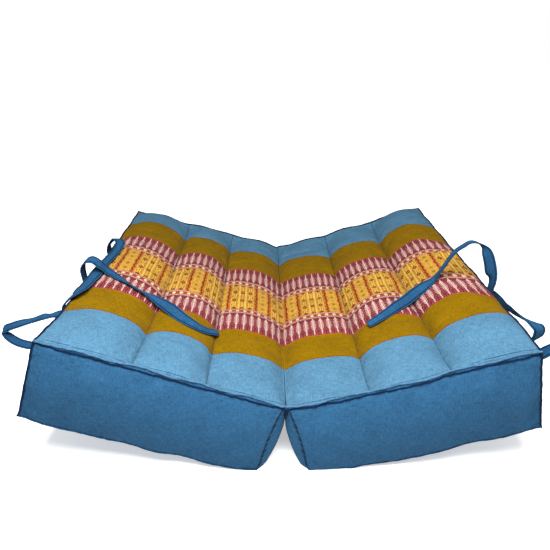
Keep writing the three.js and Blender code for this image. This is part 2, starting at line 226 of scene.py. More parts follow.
def settled_at(values, out):
    """A value between two of the seven that are given every 50 mm."""
    place = out / SETTLED_EVERY
    before = np.clip(place.astype(int), 0, 5)
    part = np.clip(place - before, 0, 1)
    values = np.array(values, float)
    return values[before] + (values[before + 1] - values[before]) * part * part * (3 - 2 * part)


def settled(block, out, depth, height):
    """How far a place has settled from its even place."""
    rows = SETTLED[block]
    near_front = np.clip(1 - depth / SETTLED_REACH, 0, 1) ** 2
    near_back = np.clip(1 - (BLOCK_DEPTH - depth) / SETTLED_REACH, 0, 1) ** 2
    top = settled_at(rows["front"], out) * near_front + settled_at(rows["back"], out) * near_back
    bottom = settled_at(rows["underside"], out) * (1 - LESS_AT_BACK * depth / BLOCK_DEPTH)
    return bottom + (top - bottom) * height


def underside_drop(out, depth):
    """Depth of the underside's cloth under the plane of the bottom seams."""
    part = (out / CHANNEL_WIDTH) % 1
    crest = UNDERSIDE_DIP + (UNDERSIDE_CREST - UNDERSIDE_DIP) * swell(part, CHANNEL_ROUNDNESS)
    return crest * relief_at(depth) * swell(out / BLOCK_WIDTH, PANEL_ROUNDNESS)


def outer_panel(block, height, depth):
    """How far the outer panel stands beyond its even place."""
    at_front, at_back = OUTER_DRAW_IN[block]
    part = depth / BLOCK_DEPTH
    drawn = (at_front + (at_back - at_front) * part) * swell(part, DRAW_IN_ROUNDNESS)
    swollen = OUTER_SWELL * swell(height, SWELL_ROUNDNESS) * swell(part, OUTER_ROUNDNESS)
    return swollen - drawn - UNDERSIDE_NARROWER[block] * (1 - height)


def on_block(block, out, depth, up):
    """Places given over a block, in the object's own frame."""
    side, front, back = TILT[block]
    tilt = np.radians(front + (back - front) * depth / BLOCK_DEPTH)
    x = side * (out * np.cos(tilt) - up * np.sin(tilt))
    z = HINGE_HEIGHT + out * np.sin(tilt) + up * np.cos(tilt)
    return np.stack([x, depth - BLOCK_DEPTH / 2, z], axis=-1)


# %% [markdown]
# ## The grid of squares
# The grid lines lie closer together beside a seam or a sewn line, where cloth bends sharply, and further
# apart in the middle of a channel.

# %% Grid lines
def spread(start, end, count, crowding):
    """Places from start to end, closer together at both ends."""
    even = np.linspace(0, 1, count + 1)
    return start + (end - start) * (even - crowding * np.sin(2 * np.pi * even) / (2 * np.pi))


# How many squares, and how much closer together they are at the ends
CHANNEL_SQUARES, CHANNEL_CROWDING = 16, 0.62
DEPTH_SQUARES, DEPTH_CROWDING = 86, 0.5
HEIGHT_SQUARES, HEIGHT_CROWDING = 18, 0.45
# Rows of squares at the top of the hinge panel that belong to the band cloth, which dips into the fold
FOLD_SQUARES = 3
OUTS = np.concatenate([
    *[spread(at, at + CHANNEL_WIDTH, CHANNEL_SQUARES, CHANNEL_CROWDING)[:-1] for at in LINES_AT[:3]],
    [float(BLOCK_WIDTH)],
])
DEPTHS = spread(0, BLOCK_DEPTH, DEPTH_SQUARES, DEPTH_CROWDING)
HEIGHTS = spread(0, 1, HEIGHT_SQUARES, HEIGHT_CROWDING)
ENDS = (len(OUTS) - 1, len(DEPTHS) - 1, len(HEIGHTS) - 1)
print("squares of a block:", ENDS[0], "across,", ENDS[1], "deep,", ENDS[2], "high")


def box_grid(ni, nj, nk):
    """The points on the six faces of a grid, and its squares with the face that each is on."""
    index = {}
    points = []

    def at(i, j, k):
        key = (i, j, k)
        if key not in index:
            index[key] = len(points)
            points.append(key)
        return index[key]

    squares = []
    faces = []
    for i in range(ni):
        for j in range(nj):
            for k, name in ((0, "underside"), (nk, "top")):
                ring = [(i, j, k), (i + 1, j, k), (i + 1, j + 1, k), (i, j + 1, k)]
                squares.append(ring if k else ring[::-1])
                faces.append(name)
    for i in range(ni):
        for k in range(nk):
            for j, name in ((0, "front"), (nj, "back")):
                ring = [(i, j, k), (i + 1, j, k), (i + 1, j, k + 1), (i, j, k + 1)]
                squares.append(ring[::-1] if j else ring)
                faces.append(name)
    for j in range(nj):
        for k in range(nk):
            for i, name in ((0, "fold" if k >= nk - FOLD_SQUARES else "hinge"), (ni, "outer")):
                ring = [(i, j, k), (i, j + 1, k), (i, j + 1, k + 1), (i, j, k + 1)]
                squares.append(ring if i else ring[::-1])
                faces.append(name)
    corners = [[at(*corner) for corner in ring] for ring in squares]
    return np.array(points), corners, squares, faces


# %% [markdown]
# ## Cloth coordinates
# The woven pattern follows the cloth, so each square knows its place on the cloth in metres. On the top
# this is the length along the cloth from the hinge, up and down over the channels, and the distance from
# the front seam. A second map gives the distances to the nearest seams or sewn lines one way and the other,
# for the small puckers that a seam draws into cloth.

# %% Cloth lengths
# Cloth that the hinge takes up, and cloth that each sewn line takes up
CLOTH_IN_HINGE = 14.0
TUCKED_IN_LINE = {"left": 15, "right": 11}
FAR_FROM_SEAMS = 50
# Six lines of the weave, from the middle of the cloth: from blue to olive, from olive to the trees, both
# edges of the flowered middle, and the first two again at the back. The cloth is stretched unevenly, so
# each row says how far from the front seam its line lies, every 50 mm from the hinge outwards
WOVEN_AT = (-160, -104, -40, 40, 104, 160)
WOVEN_LINES = {
    "left": (
        (82, 81, 81, 82, 82, 81, 75),
        (133, 136, 137, 139, 136, 139, 133),
        (196, 201, 202, 200, 205, 205, 197),
        (274, 281, 287, 289, 288, 290, 288),
        (341, 352, 351, 360, 351, 355, 342),
        (421, 432, 432, 437, 429, 430, 419),
    ),
    "right": (
        (81, 81, 82, 83, 83, 78, 73),
        (133, 134, 137, 136, 134, 134, 112),
        (195, 196, 198, 205, 200, 199, 180),
        (272, 271, 275, 277, 278, 275, 262),
        (342, 341, 341, 337, 338, 333, 300),
        (418, 419, 418, 414, 410, 403, 368),
    ),
}


def cloth_lengths(block):
    """Length along the top cloth from the hinge to each grid line."""
    middle = np.full_like(OUTS, BLOCK_DEPTH / 2)
    heights = top_height(block, np.minimum(OUTS, INSIDE_WIDTH), middle)
    steps = np.hypot(np.diff(OUTS + line_shift(block, OUTS)), np.diff(heights))
    return np.concatenate([[0], np.cumsum(steps)])


def woven_places(block):
    """How far from the middle of the weave each grid point of the top lies."""
    lines = np.array([settled_at(row, OUTS) for row in WOVEN_LINES[block]])
    places = []
    for row in lines.T:
        woven = [WOVEN_AT[0] - row[0], *WOVEN_AT, WOVEN_AT[-1] + BLOCK_DEPTH - row[-1]]
        places.append(np.interp(DEPTHS, [0, *row, BLOCK_DEPTH], woven))
    return places


def cloth_place(block, lengths, woven, face, corner, channel):
    """Place on the cloth, and the distances to the seams beside it and at its ends, in millimetres."""
    i, j, k = corner
    out = OUTS[i]
    depth = DEPTHS[j]
    height = HEIGHTS[k] * OUTER_THICKNESS
    from_end = min(depth, BLOCK_DEPTH - depth)
    from_edge = min(height, OUTER_THICKNESS - height)
    if face in ("top", "underside"):
        across = lengths[i] + channel * TUCKED_IN_LINE[block]
        place = (-across if block == "left" else across + CLOTH_IN_HINGE, BLOCK_DEPTH / 2 + woven[i][j])
        sewn = LINES_AT[1:] if face == "top" else (0, BLOCK_WIDTH)
        return place, (min(abs(out - line) for line in sewn), from_end)
    if face == "fold":
        down = (OUTER_THICKNESS - height) * HINGE_THICKNESS / OUTER_THICKNESS
        place = (down if block == "left" else CLOTH_IN_HINGE - down, BLOCK_DEPTH / 2 + woven[i][j])
        return place, (FAR_FROM_SEAMS, from_end)
    if face in ("front", "back"):
        return (out, height), (min(out, BLOCK_WIDTH - out), from_edge)
    return (depth, height), (from_end, from_edge)


# %% Where the two blocks meet
# Heights of the strip that hangs between the blocks, and how far each block stays from the middle
STRIP_TOP_HEIGHT = 91.5
STRIP_BOTTOM_HEIGHT = 72.5
STRIP_GAP = 1.3
BLOCK_GAP = 0.1
# Over the strip the fold is closed in front of one place and behind another, and shows between them
FOLD_OPENS_AT = 85
FOLD_CLOSES_AT = 200
FRONT_FOLD_GAP = 0.5
BACK_FOLD_GAP = 2.0


def keep_clear(places, side):
    """Keep millimetre places above the floor, off the hinge strip and on their own side of the fold."""
    places = places.copy()
    beside_strip = (places[:, 2] < STRIP_TOP_HEIGHT) & (places[:, 2] > STRIP_BOTTOM_HEIGHT)
    nearest = np.where(beside_strip, STRIP_GAP, BLOCK_GAP)
    places[:, 0] = side * np.maximum(side * places[:, 0], nearest)
    closed = np.where(places[:, 1] > FOLD_CLOSES_AT, BACK_FOLD_GAP, 0)
    closed = np.where(places[:, 1] < FOLD_OPENS_AT, FRONT_FOLD_GAP, closed)
    meets = (places[:, 2] > STRIP_TOP_HEIGHT) & (np.abs(places[:, 0]) < closed)
    places[meets, 0] = 0
    places[:, 2] = np.maximum(places[:, 2], 0)
    return places


# %% Build one block's cloth
# The seam at the front end of the hinge panel is drawn back into the block, and the panel bulges past it.
# The bulge is full from 9 to 18 mm behind the seam, and gone at 108 mm
INNER_SEAM_PULL = 6.5
INNER_SEAM_REACH = 11
INNER_SEAM_FADE = 45
INNER_SEAM_ROUNDNESS = 0.6
INNER_PANEL_BULGE = 5
BULGE_RISE = 9
BULGE_FADE = 90
BULGE_FADES_FAST = 12
INNER_CORNER_CUT = 4
CORNER_CUT_WIDTH = 22
CORNER_CUT_HEIGHT = 0.16


def drawn_in_front(outs, depths, heights):
    """How far the front end of the hinge panel is drawn back, bulges, and is cut at its bottom corner."""
    near_end = np.clip(1 - depths / INNER_SEAM_REACH, 0, 1) ** 2
    near_hinge = np.clip(1 - outs / INNER_SEAM_FADE, 0, 1) ** 2
    pull = INNER_SEAM_PULL * swell(heights, INNER_SEAM_ROUNDNESS) * near_end * near_hinge
    bulge = INNER_PANEL_BULGE * np.clip(depths / BULGE_RISE, 0, 1) * np.clip(1.2 - depths / BULGE_FADE, 0, 1)
    bulge = bulge * swell(heights, SWELL_ROUNDNESS) * (1 - outs / BLOCK_WIDTH) ** BULGE_FADES_FAST
    corner = INNER_CORNER_CUT * near_end * np.clip(1 - outs / CORNER_CUT_WIDTH, 0, 1)
    corner = corner * np.clip(1 - heights / CORNER_CUT_HEIGHT, 0, 1)
    return pull, bulge, corner


def block_places(block, points):
    """Every grid point's place, in millimetres."""
    side = TILT[block][0]
    i, j, k = points.T
    outs = OUTS[i]
    depths = DEPTHS[j]
    heights = HEIGHTS[k]
    part = outs / BLOCK_WIDTH
    thickness = HINGE_THICKNESS + (OUTER_THICKNESS - HINGE_THICKNESS) * part

    # Top and underside
    up = -thickness * (1 - heights)
    up += np.where(k == ENDS[2], top_height(block, np.minimum(outs, INSIDE_WIDTH), depths), 0)
    up -= np.where(k == 0, underside_drop(np.minimum(outs, INSIDE_WIDTH), depths), 0)
    up -= UNDERSIDE_SAG * swell(part, 1) * (1 - heights)
    up += settled(block, outs, depths, heights)

    # Panels of the boxing
    front_out = FRONT_SWELL * swell(heights, SWELL_ROUNDNESS) * swell(part, PANEL_ROUNDNESS)
    front_out += UNDERSIDE_REACH * (1 - heights) - FRONT_DRAW_IN * swell(part, 1)
    depth = depths - front_out * (1 - 2 * depths / BLOCK_DEPTH)
    out = outs + outer_panel(block, heights, depths) * part + line_shift(block, outs)
    hinge_out = HINGE_SWELL * swell(heights, PRESSED_ROUNDNESS)
    hinge_out = hinge_out * swell(depths / BLOCK_DEPTH, HINGE_ROUNDNESS)
    out -= hinge_out * (1 - part) ** 2
    pull, bulge, corner = drawn_in_front(outs, depths, heights)
    out += pull
    out -= bulge
    out += corner
    up += corner

    # The edge of two faces is a seam that stands a little proud and runs a little unevenly
    ridge_out = np.where(i == ENDS[0], 1, np.where(i == 0, -1, 0))
    ridge_depth = np.where(j == ENDS[1], 1, np.where(j == 0, -1, 0))
    ridge_up = np.where(k == ENDS[2], 1, np.where(k == 0, -1, 0))
    seam = (abs(ridge_out) + abs(ridge_depth) + abs(ridge_up) > 1) & ~((i == 0) & (k == ENDS[2]))
    wave = SEAM_WAVE * np.sin(2 * np.pi * (outs + depths) / SEAM_WAVELENGTH + side * (1 + heights))
    out += np.where(seam, RIDGE * ridge_out, 0)
    depth += np.where(seam, RIDGE * ridge_depth, 0)
    up += np.where(seam, RIDGE * ridge_up + wave, 0)

    # At the bottom outer corners the ends of the seams poke out as small ears
    for at_depth, ear in zip((0, ENDS[1]), CORNER_EARS[block]):
        corner = (i == ENDS[0]) & (j == at_depth) & (k == 0)
        out += np.where(corner, ear * EAR_OUTWARD, 0)
        depth += np.where(corner, ear * EAR_FORWARD * (1 if at_depth else -1), 0)

    places = on_block(block, out, depth, up)
    return keep_clear(places, side)


# The squares above which the hinge panels press on each other, and how sharp a seam stays when smoothed
PRESSED_FROM = 3
SEAM_CREASE = 0.85


def cloth_object(block):
    """One block's case as a mesh, with its cloth maps and the rows that are sewn."""
    side = TILT[block][0]
    points, corners, squares, faces = box_grid(*ENDS)
    places = block_places(block, points) / 1000
    if side < 0:
        corners = [ring[::-1] for ring in corners]
        squares = [ring[::-1] for ring in squares]
    mesh = bpy.data.meshes.new(f"case_{block}")
    mesh.from_pydata(places.tolist(), [], corners)
    mesh.polygons.foreach_set("material_index", [0 if face in ("top", "fold") else 1 for face in faces])
    mesh.polygons.foreach_set("use_smooth", [True] * len(faces))

    lengths = cloth_lengths(block)
    woven = woven_places(block)
    cloth = mesh.uv_layers.new(name="cloth")
    seams = mesh.uv_layers.new(name="seams")
    cloth_values = []
    seam_values = []
    for ring, face in zip(squares, faces):
        channel = min(corner[0] for corner in ring) // CHANNEL_SQUARES
        for corner in ring:
            place, seam = cloth_place(block, lengths, woven, face, corner, channel)
            cloth_values.extend((place[0] / 1000, place[1] / 1000))
            seam_values.extend((seam[0] / 1000, seam[1] / 1000))
    cloth.data.foreach_set("uv", cloth_values)
    seams.data.foreach_set("uv", seam_values)

    # Held while the case is filled: its seams, its sewn lines, and where it is pressed flat
    i, j, k = points.T
    on_edges = (
        ((i == 0) | (i == ENDS[0])).astype(int)
        + ((j == 0) | (j == ENDS[1])).astype(int)
        + ((k == 0) | (k == ENDS[2])).astype(int)
    )
    sewn_line = (k == ENDS[2]) & ((i == CHANNEL_SQUARES) | (i == 2 * CHANNEL_SQUARES))
    on_floor = places[:, 2] <= 0
    pressed = (i == 0) & (k > PRESSED_FROM)
    held = np.nonzero((on_edges > 1) | sewn_line | on_floor | pressed)[0]
    stiff = set(np.nonzero((on_edges > 1) | sewn_line)[0].tolist())
    crease = mesh.attributes.new("crease_edge", "FLOAT", "EDGE")
    crease.data.foreach_set("value", [
        SEAM_CREASE if stiff.issuperset(edge.vertices) else 0.0 for edge in mesh.edges])
    piece = bpy.data.objects.new(f"case_{block}", mesh)
    scene.collection.objects.link(piece)
    piece.vertex_groups.new(name="sewn").add(held.tolist(), 1.0, "REPLACE")
    print(piece.name, len(points), "points,", len(held), "of them held")
    return piece, points, places


# %% [markdown]
# ## Filling the cases
# The filling presses from inside, and the cloth is cut a little larger than the form, so it puffs up
# between the seams and gathers in small folds where they hold it. Blender's cloth simulation does the
# same: pressure inside, the sewn rows held in place, and no gravity, because filling is far stiffer than
# its own weight. No point may move further than two millimetres, so the block keeps its size.

# %% Cloth simulation
FRAMES = 26
FARTHEST_MOVE = 0.002


def start_filling(piece):
    """Give a case its cloth and its pressure."""
    filling = piece.modifiers.new("filling", "CLOTH")
    cloth = filling.settings
    cloth.quality = 7
    cloth.mass = 0.2
    cloth.tension_stiffness = 18
    cloth.compression_stiffness = 12
    cloth.shear_stiffness = 8
    cloth.bending_stiffness = 0.25
    cloth.use_pressure = True
    cloth.uniform_pressure_force = 4.0
    cloth.shrink_min = -0.025
    cloth.vertex_group_mass = "sewn"
    cloth.effector_weights.gravity = 0
    filling.collision_settings.use_collision = False
    filling.point_cache.frame_start = 1
    filling.point_cache.frame_end = FRAMES


def settle(piece, before):
    """Take the cloth's last state, and keep each move inside its limit."""
    shown = piece.evaluated_get(bpy.context.evaluated_depsgraph_get())
    after = np.empty(len(shown.data.vertices) * 3)
    shown.data.vertices.foreach_get("co", after)
    moves = after.reshape(-1, 3) - before
    lengths = np.linalg.norm(moves, axis=1, keepdims=True)
    shorter = FARTHEST_MOVE * np.tanh(lengths / FARTHEST_MOVE)
    moves *= shorter / np.maximum(lengths, 1e-9)
    piece.modifiers.clear()
    print(piece.name, "moved", round(float(lengths.mean()) * 1000, 2), "mm on average and",
          round(float(lengths.max()) * 1000, 2), "mm at most")
    return before + moves


cases = {block: cloth_object(block) for block in ("left", "right")}
filled = {block: cases[block][2] for block in cases}
for piece, _, _ in cases.values():
    start_filling(piece)
for number in range(1, FRAMES + 1):
    scene.frame_set(number)
filled = {block: settle(cases[block][0], cases[block][2]) for block in cases}
scene.frame_set(1)

# %% [markdown]
# ## Ties
# Each tie is a strip of blue cotton, folded and stitched to a strap 17 mm wide. One end is sewn into the
# outer seam and the other lies free. A strap bends easily through its thickness and hardly at all across
# its width, so each one is built along a smooth route with its flat side turned to follow the curl.

# %% Routes of the ties
TIE_WIDTH = 17
TIE_THICKNESS = 2.4

# Each row: distance from the hinge, distance from the front seam, height over the plane of the seams, and
# the direction of the strap's upper side in the same three directions, and the strap's width, which is
# less where it has rolled up. A root is sewn to the outer panel.
ROUTES = {
    "tie_left_front": ("left", (186, -15, 0), [
        (303, 182, 6, 1, 0, 0.1, 17),
        (304, 179, 16, 1, 0, 0.5, 17),
        (300, 177, 26, 0.6, -0.1, 1, 17),
        (292, 178, 30, -0.2, -0.2, 1, 17),
        (282, 180, 25, -0.5, -0.3, 1, 17),
        (270, 185, 15, -0.3, -0.2, 1, 17),
        (251, 173, 15, -0.1, 0.1, 1, 15),
        (231, 161, 15, 0, 0.6, 0.9, 12),
        (215, 155, 13, 0, 0.5, 0.9, 11),
        (198, 154, 9, 0, -0.1, 1, 12),
        (183, 147, 8, 0, -0.6, 0.8, 15),
        (167, 130, 12, 0, -0.8, 0.7, 17),
        (150, 116, 12, 0, -0.6, 0.9, 16),
        (133, 108, 11, 0, -0.4, 1, 14),
        (114, 111, 4, 0, -0.3, 1, 12),
        (95, 124, -3, 0, -0.3, 1, 11),
    ]),
    "tie_left_back": ("left", (314, -15, 1.1), [
        (301, 308, -5, 1, 0, 0.2, 17),
        (297, 303, 8, 1, 0.3, 0.4, 17),
        (289, 298, 18, 0.3, 0.5, 1, 16),
        (280, 287, 19, 0, -0.5, 1, 15),
        (279, 273, 13, 0.1, -0.3, 1, 14),
        (280, 243, 12, 0.2, -0.1, 1, 14),
        (282, 220, 12, 0.2, 0, 1, 15),
        (283, 186, 12, 0.2, 0, 1, 17),
        (284, 153, 11, 0.3, 0, 1, 17),
        (286, 124, 11, 0.4, 0, 1, 17),
        (289, 106, 11, 0.8, 0, 1, 15),
        (295, 102, 3, 1, 0, 0.7, 13),
        (299, 100, -6, 1, 0, 0.2, 13),
        (300, 98, -16, 1, -0.2, 0.2, 13),
        (308, 96, -22, 0.8, -0.3, 0.5, 13),
        (318, 90, -24, 0.4, -0.3, 1, 12),
        (333, 90, -35, 0.3, -0.3, 1, 11),
        (344, 88, -41, 0.3, -0.6, 1, 11),
        (355, 86, -48, 0.6, -0.6, 0.7, 12),
        (365, 85, -58, 1, -0.3, -0.5, 12),
        (357, 84, -64, 0.3, 0.4, -1, 12),
        (346, 84, -69, -0.2, 0.5, -1, 12),
        (336, 85, -71, -0.3, 0.5, -0.9, 12),
        (326, 87, -71, -0.6, 0.3, -0.8, 13),
        (320, 97, -72, -1, 0.1, -0.4, 14),
    ]),
    "tie_right_front": ("right", (154, -15, -0.6), [
        (307, 152, 2, 1, 0, 0, 17),
        (309, 151, 12, 1, 0.3, 0, 17),
        (308, 151, 24, 0.7, 1, 0, 17),
        (308, 152, 37, 0.5, 1, 0.1, 16),
        (307, 154, 50, 0.5, 1, 0.2, 15),
        (305, 158, 60, 0.6, 0.8, 0.8, 13),
        (298, 163, 67, 0.2, 0.3, 1, 11),
        (290, 168, 68, 0, 0, 1, 11),
        (283, 171, 64, -0.4, -0.1, 1, 11),
        (274, 175, 58, -0.5, -0.1, 1, 11),
        (268, 178, 52, -0.6, -0.1, 0.9, 11),
        (261, 181, 42, -0.8, 0, 0.8, 11),
        (254, 184, 32, -0.8, 0.1, 0.8, 11),
        (245, 186, 21, -0.7, 0.1, 0.8, 12),
        (237, 187, 13, -0.4, -0.1, 1, 13),
        (228, 183, 11, -0.1, -0.4, 1, 15),
        (216, 179, 8, 0, -0.6, 1, 17),
        (204, 176, 4, 0, -0.7, 0.8, 17),
        (188, 166, 2, 0, -0.7, 0.8, 17),
        (172, 151, 6, 0, -0.7, 0.8, 16),
        (156, 140, 6, 0, -0.6, 0.9, 14),
        (140, 132, 5, 0, -0.5, 1, 12),
        (125, 128, 2, 0, -0.4, 1, 11),
    ]),
    "tie_right_back": ("right", (322, -27, 0.4), [
        (307, 306, -29, 1, 0, 0.05, 17),
        (308, 280, -30, 1, 0, 0.1, 17),
        (308, 245, -30, 1, 0, 0.1, 17),
        (308, 210, -29, 1, 0, 0.1, 17),
        (309, 178, -24, 1, 0, 0.1, 16),
        (310, 141, -11, 1, 0, 0, 13),
        (311, 115, -11, 1, 0, 0, 12),
        (312, 96, -8, 1, 0, 0.2, 13),
        (312, 76, -3, 1, 0, 0.6, 14),
        (314, 61, 0, 0.7, 0, 1, 15),
        (317, 50, 0, 0.4, -0.3, 1, 15),
        (320, 43, -3, 0.2, -1, 0.5, 15),
        (318, 43, -12, 0.2, -1, 0, 15),
        (312, 48, -24, 0.5, -0.8, 0, 15),
        (310, 49, -34, 1, -0.3, 0, 15),
        (310, 50, -43, 1, 0, 0.3, 15),
        (315, 50, -49, 0.6, 0, 1, 16),
        (324, 51, -49, 0, -0.2, 1, 16),
        (335, 53, -47, -0.1, -0.3, 1, 16),
        (348, 54, -46, -0.1, -0.3, 1, 16),
        (369, 56, -52, 0.2, -0.2, 1, 16),
    ]),
}


# %% A smooth route through the rows
def along_block(block, depth, direction):
    """A direction over a block, in the object's own frame."""
    side, front, back = TILT[block]
    tilt = math.radians(front + (back - front) * depth / BLOCK_DEPTH)
    outward = Vector((side * math.cos(tilt), 0, math.sin(tilt)))
    upward = Vector((-side * math.sin(tilt), 0, math.cos(tilt)))
    return (outward * direction[0] + Vector((0, direction[1], 0)) + upward * direction[2]).normalized()


def curl(points, fine=40):
    """Points on a centripetal Catmull-Rom curve, with the place of each in the list of rows."""
    points = [Vector(p) for p in points]
    padded = [2 * points[0] - points[1]] + points + [2 * points[-1] - points[-2]]
    line = []
    places = []
    for n in range(len(points) - 1):
        p0, p1, p2, p3 = padded[n:n + 4]
        t0 = 0.0
        t1 = t0 + max((p1 - p0).length, 1e-6) ** 0.5
        t2 = t1 + max((p2 - p1).length, 1e-6) ** 0.5
        t3 = t2 + max((p3 - p2).length, 1e-6) ** 0.5
        for step in range(fine):
            t = t1 + (t2 - t1) * step / fine
            a1 = p0 * ((t1 - t) / (t1 - t0)) + p1 * ((t - t0) / (t1 - t0))
            a2 = p1 * ((t2 - t) / (t2 - t1)) + p2 * ((t - t1) / (t2 - t1))
            a3 = p2 * ((t3 - t) / (t3 - t2)) + p3 * ((t - t2) / (t3 - t2))
            b1 = a1 * ((t2 - t) / (t2 - t0)) + a2 * ((t - t0) / (t2 - t0))
            b2 = a2 * ((t3 - t) / (t3 - t1)) + a3 * ((t - t1) / (t3 - t1))
            line.append(b1 * ((t2 - t) / (t2 - t1)) + b2 * ((t - t1) / (t2 - t1)))
            places.append(n + step / fine)
    line.append(points[-1])
    places.append(len(points) - 1)
    return line, places


def strap_frames(name, step):
    """The middle of a strap every few millimetres, with the directions across it and through it."""
    block, (root_in, root_up, lift), rows = ROUTES[name]
    root_height = np.float64(1 + root_up / OUTER_THICKNESS)
    root_out = BLOCK_WIDTH + float(outer_panel(block, root_height, np.float64(root_in)))
    root_out += TIE_THICKNESS / 2 + lift + LINE_SHIFTS[block][-1]
    rows = [(root_out, root_in, root_up, 1, 0, 0, TIE_WIDTH)] + rows
    points = [on_block(block, *[np.float64(v) for v in row[:3]]) for row in rows]
    faces = [along_block(block, row[1], row[3:6]) for row in rows]
    line, places = curl(points)
    lengths = np.concatenate([[0], np.cumsum([(b - a).length for a, b in zip(line, line[1:])])])
    count = round(lengths[-1] / step)
    frames = []
    for at in np.linspace(0, lengths[-1], count + 1):
        n = min(int(np.searchsorted(lengths, at, side="right")) - 1, len(line) - 2)
        part = (at - lengths[n]) / (lengths[n + 1] - lengths[n])
        middle = line[n].lerp(line[n + 1], part)
        place = places[n] + (places[n + 1] - places[n]) * part
        before = min(int(place), len(rows) - 2)
        face = faces[before].lerp(faces[before + 1], place - before)
        width = rows[before][6] + (rows[before + 1][6] - rows[before][6]) * (place - before)
        # The direction is taken over a few points, so that the strap turns evenly
        tangent = (line[min(n + 3, len(line) - 1)] - line[max(n - 2, 0)]).normalized()
        across = tangent.cross(face).normalized()
        frames.append((middle, across, across.cross(tangent).normalized(), width))
    return frames, float(lengths[-1])


# %% Build the straps
# Places across a strap and its stitch lines, both for a strap 20 mm wide, and scaled to each width
STRAP_ACROSS = np.array([-10, -9.7, -8.6, -7.5, -6.7, -4, -1.3, 1.3, 4, 6.7, 7.5, 8.6, 9.7, 10.0])
CHARTED_WIDTH = 20
STRAP_STITCH_AT = 7.2
STITCH_DITCH_WIDTH = 0.8
STITCH_DITCH_DEPTH = 0.42
FOLDED_EDGE_SHARE = 0.22
STRAP_STEP = 2.0
STITCH_LIFT = 0.1
UNDERSIDE_ON_MAP = 0.05
# Ripples in millimetres, and the steps from its root over which a strap begins to ripple
LONG_RIPPLE = 0.35
SHORT_RIPPLE = 0.2
EASE_STEPS = 12


def strap_thickness(across):
    """Half the strap's thickness: full in the middle, thin at the folded edges and at the stitching."""
    fold = np.clip(1 - abs(across * 2 / CHARTED_WIDTH) ** 6, FOLDED_EDGE_SHARE, 1)
    off_line = (abs(across) - STRAP_STITCH_AT) / STITCH_DITCH_WIDTH
    return TIE_THICKNESS / 2 * fold * (1 - STITCH_DITCH_DEPTH * np.exp(-off_line ** 2))


def strap_object(name):
    """A tie as a closed strap, and the two lines that its stitching follows."""
    frames, length = strap_frames(name, STRAP_STEP)
    phase = sum(map(ord, name)) % 7
    thick = strap_thickness(STRAP_ACROSS)
    points, corners, squares, _ = box_grid(len(STRAP_ACROSS) - 1, len(frames) - 1, 1)
    places = []
    for i, j, k in points:
        middle, across, through, width = frames[j]
        w = STRAP_ACROSS[i] * width / CHARTED_WIDTH
        # The strap curls and ripples a little, and lies flat where it is sewn in
        ease = min(1, j / EASE_STEPS)
        ripple = LONG_RIPPLE * ease * math.sin(j * 0.21 + phase) * (w / 10)
        ripple += SHORT_RIPPLE * ease * math.sin(j * 0.5 + w * 0.3)
        places.append((middle + across * w + through * (thick[i] * (1 if k else -1) + ripple)) / 1000)
    mesh = bpy.data.meshes.new(name + "_strap")
    mesh.from_pydata(places, [], corners)
    mesh.polygons.foreach_set("use_smooth", [True] * len(mesh.polygons))
    cloth = mesh.uv_layers.new(name="cloth")
    step = length / (len(frames) - 1) / 1000
    for corner, (i, j, k) in zip(cloth.data, (place for ring in squares for place in ring)):
        corner.uv = (STRAP_ACROSS[i] / 1000 + (0 if k else UNDERSIDE_ON_MAP), j * step)
    piece = bpy.data.objects.new(name + "_strap", mesh)
    scene.collection.objects.link(piece)
    stitching = [[], []]
    for middle, across, through, width in frames[2:-2]:
        height = strap_thickness(STRAP_STITCH_AT) + STITCH_LIFT
        beside = STRAP_STITCH_AT * width / CHARTED_WIDTH
        for row, side in zip(stitching, (1, -1)):
            row.append(((middle + across * beside * side + through * height) / 1000, through.copy()))
    print(piece.name, round(length), "mm long,", len(mesh.polygons), "faces")
    return piece, length / 1000, stitching


straps = {name: strap_object(name) for name in ROUTES}

# %% [markdown]
# ## Where the ties lie on the cloth
# A strap presses the soft cloth down a little under itself. Each point of the cloth that would come
# closer to a strap than about half a millimetre is pushed inwards, away from it.

# %% Press the cloth down under the straps
STRAP_GAP = 0.0006
LOOK_INSIDE = 0.012
# A pushed point can meet another turn of the strap, so it is looked at again
LOOKS = 3


def press_under_straps(places, normals, block):
    """Move cloth away from the straps that lie on it."""
    places = places.copy()
    pushed = 0
    for name, (strap, _, _) in straps.items():
        if ROUTES[name][0] != block:
            continue
        mesh = strap.data
        tree = BVHTree.FromPolygons([v.co for v in mesh.vertices], [p.vertices for p in mesh.polygons])
        for n in range(len(places)):
            point = Vector(places[n])
            normal = Vector(normals[n])
            for _ in range(LOOKS):
                start = point - normal * LOOK_INSIDE
                hit, _, _, _ = tree.ray_cast(start, normal, LOOK_INSIDE + STRAP_GAP)
                if hit is None:
                    break
                point = hit - normal * STRAP_GAP
                pushed += 1
            places[n] = point
    print("cloth of the", block, "block:", pushed, "points pressed under straps")
    return places


def finish_case(block):
    """Put the filled form into the mesh, keep it off the floor, the other block and the straps."""
    piece, points, _ = cases[block]
    side = TILT[block][0]
    mesh = piece.data
    places = keep_clear(filled[block] * 1000, side) / 1000
    mesh.vertices.foreach_set("co", places.ravel())
    mesh.update()
    normals = np.array([n.vector for n in mesh.vertex_normals])
    places = press_under_straps(places, normals, block)
    mesh.vertices.foreach_set("co", places.ravel())
    mesh.update()


for block in cases:
    finish_case(block)

# %% [markdown]
# ## Smooth cloth
# One level of subdivision rounds the squares off. The evaluated mesh is kept, so no modifier is left.

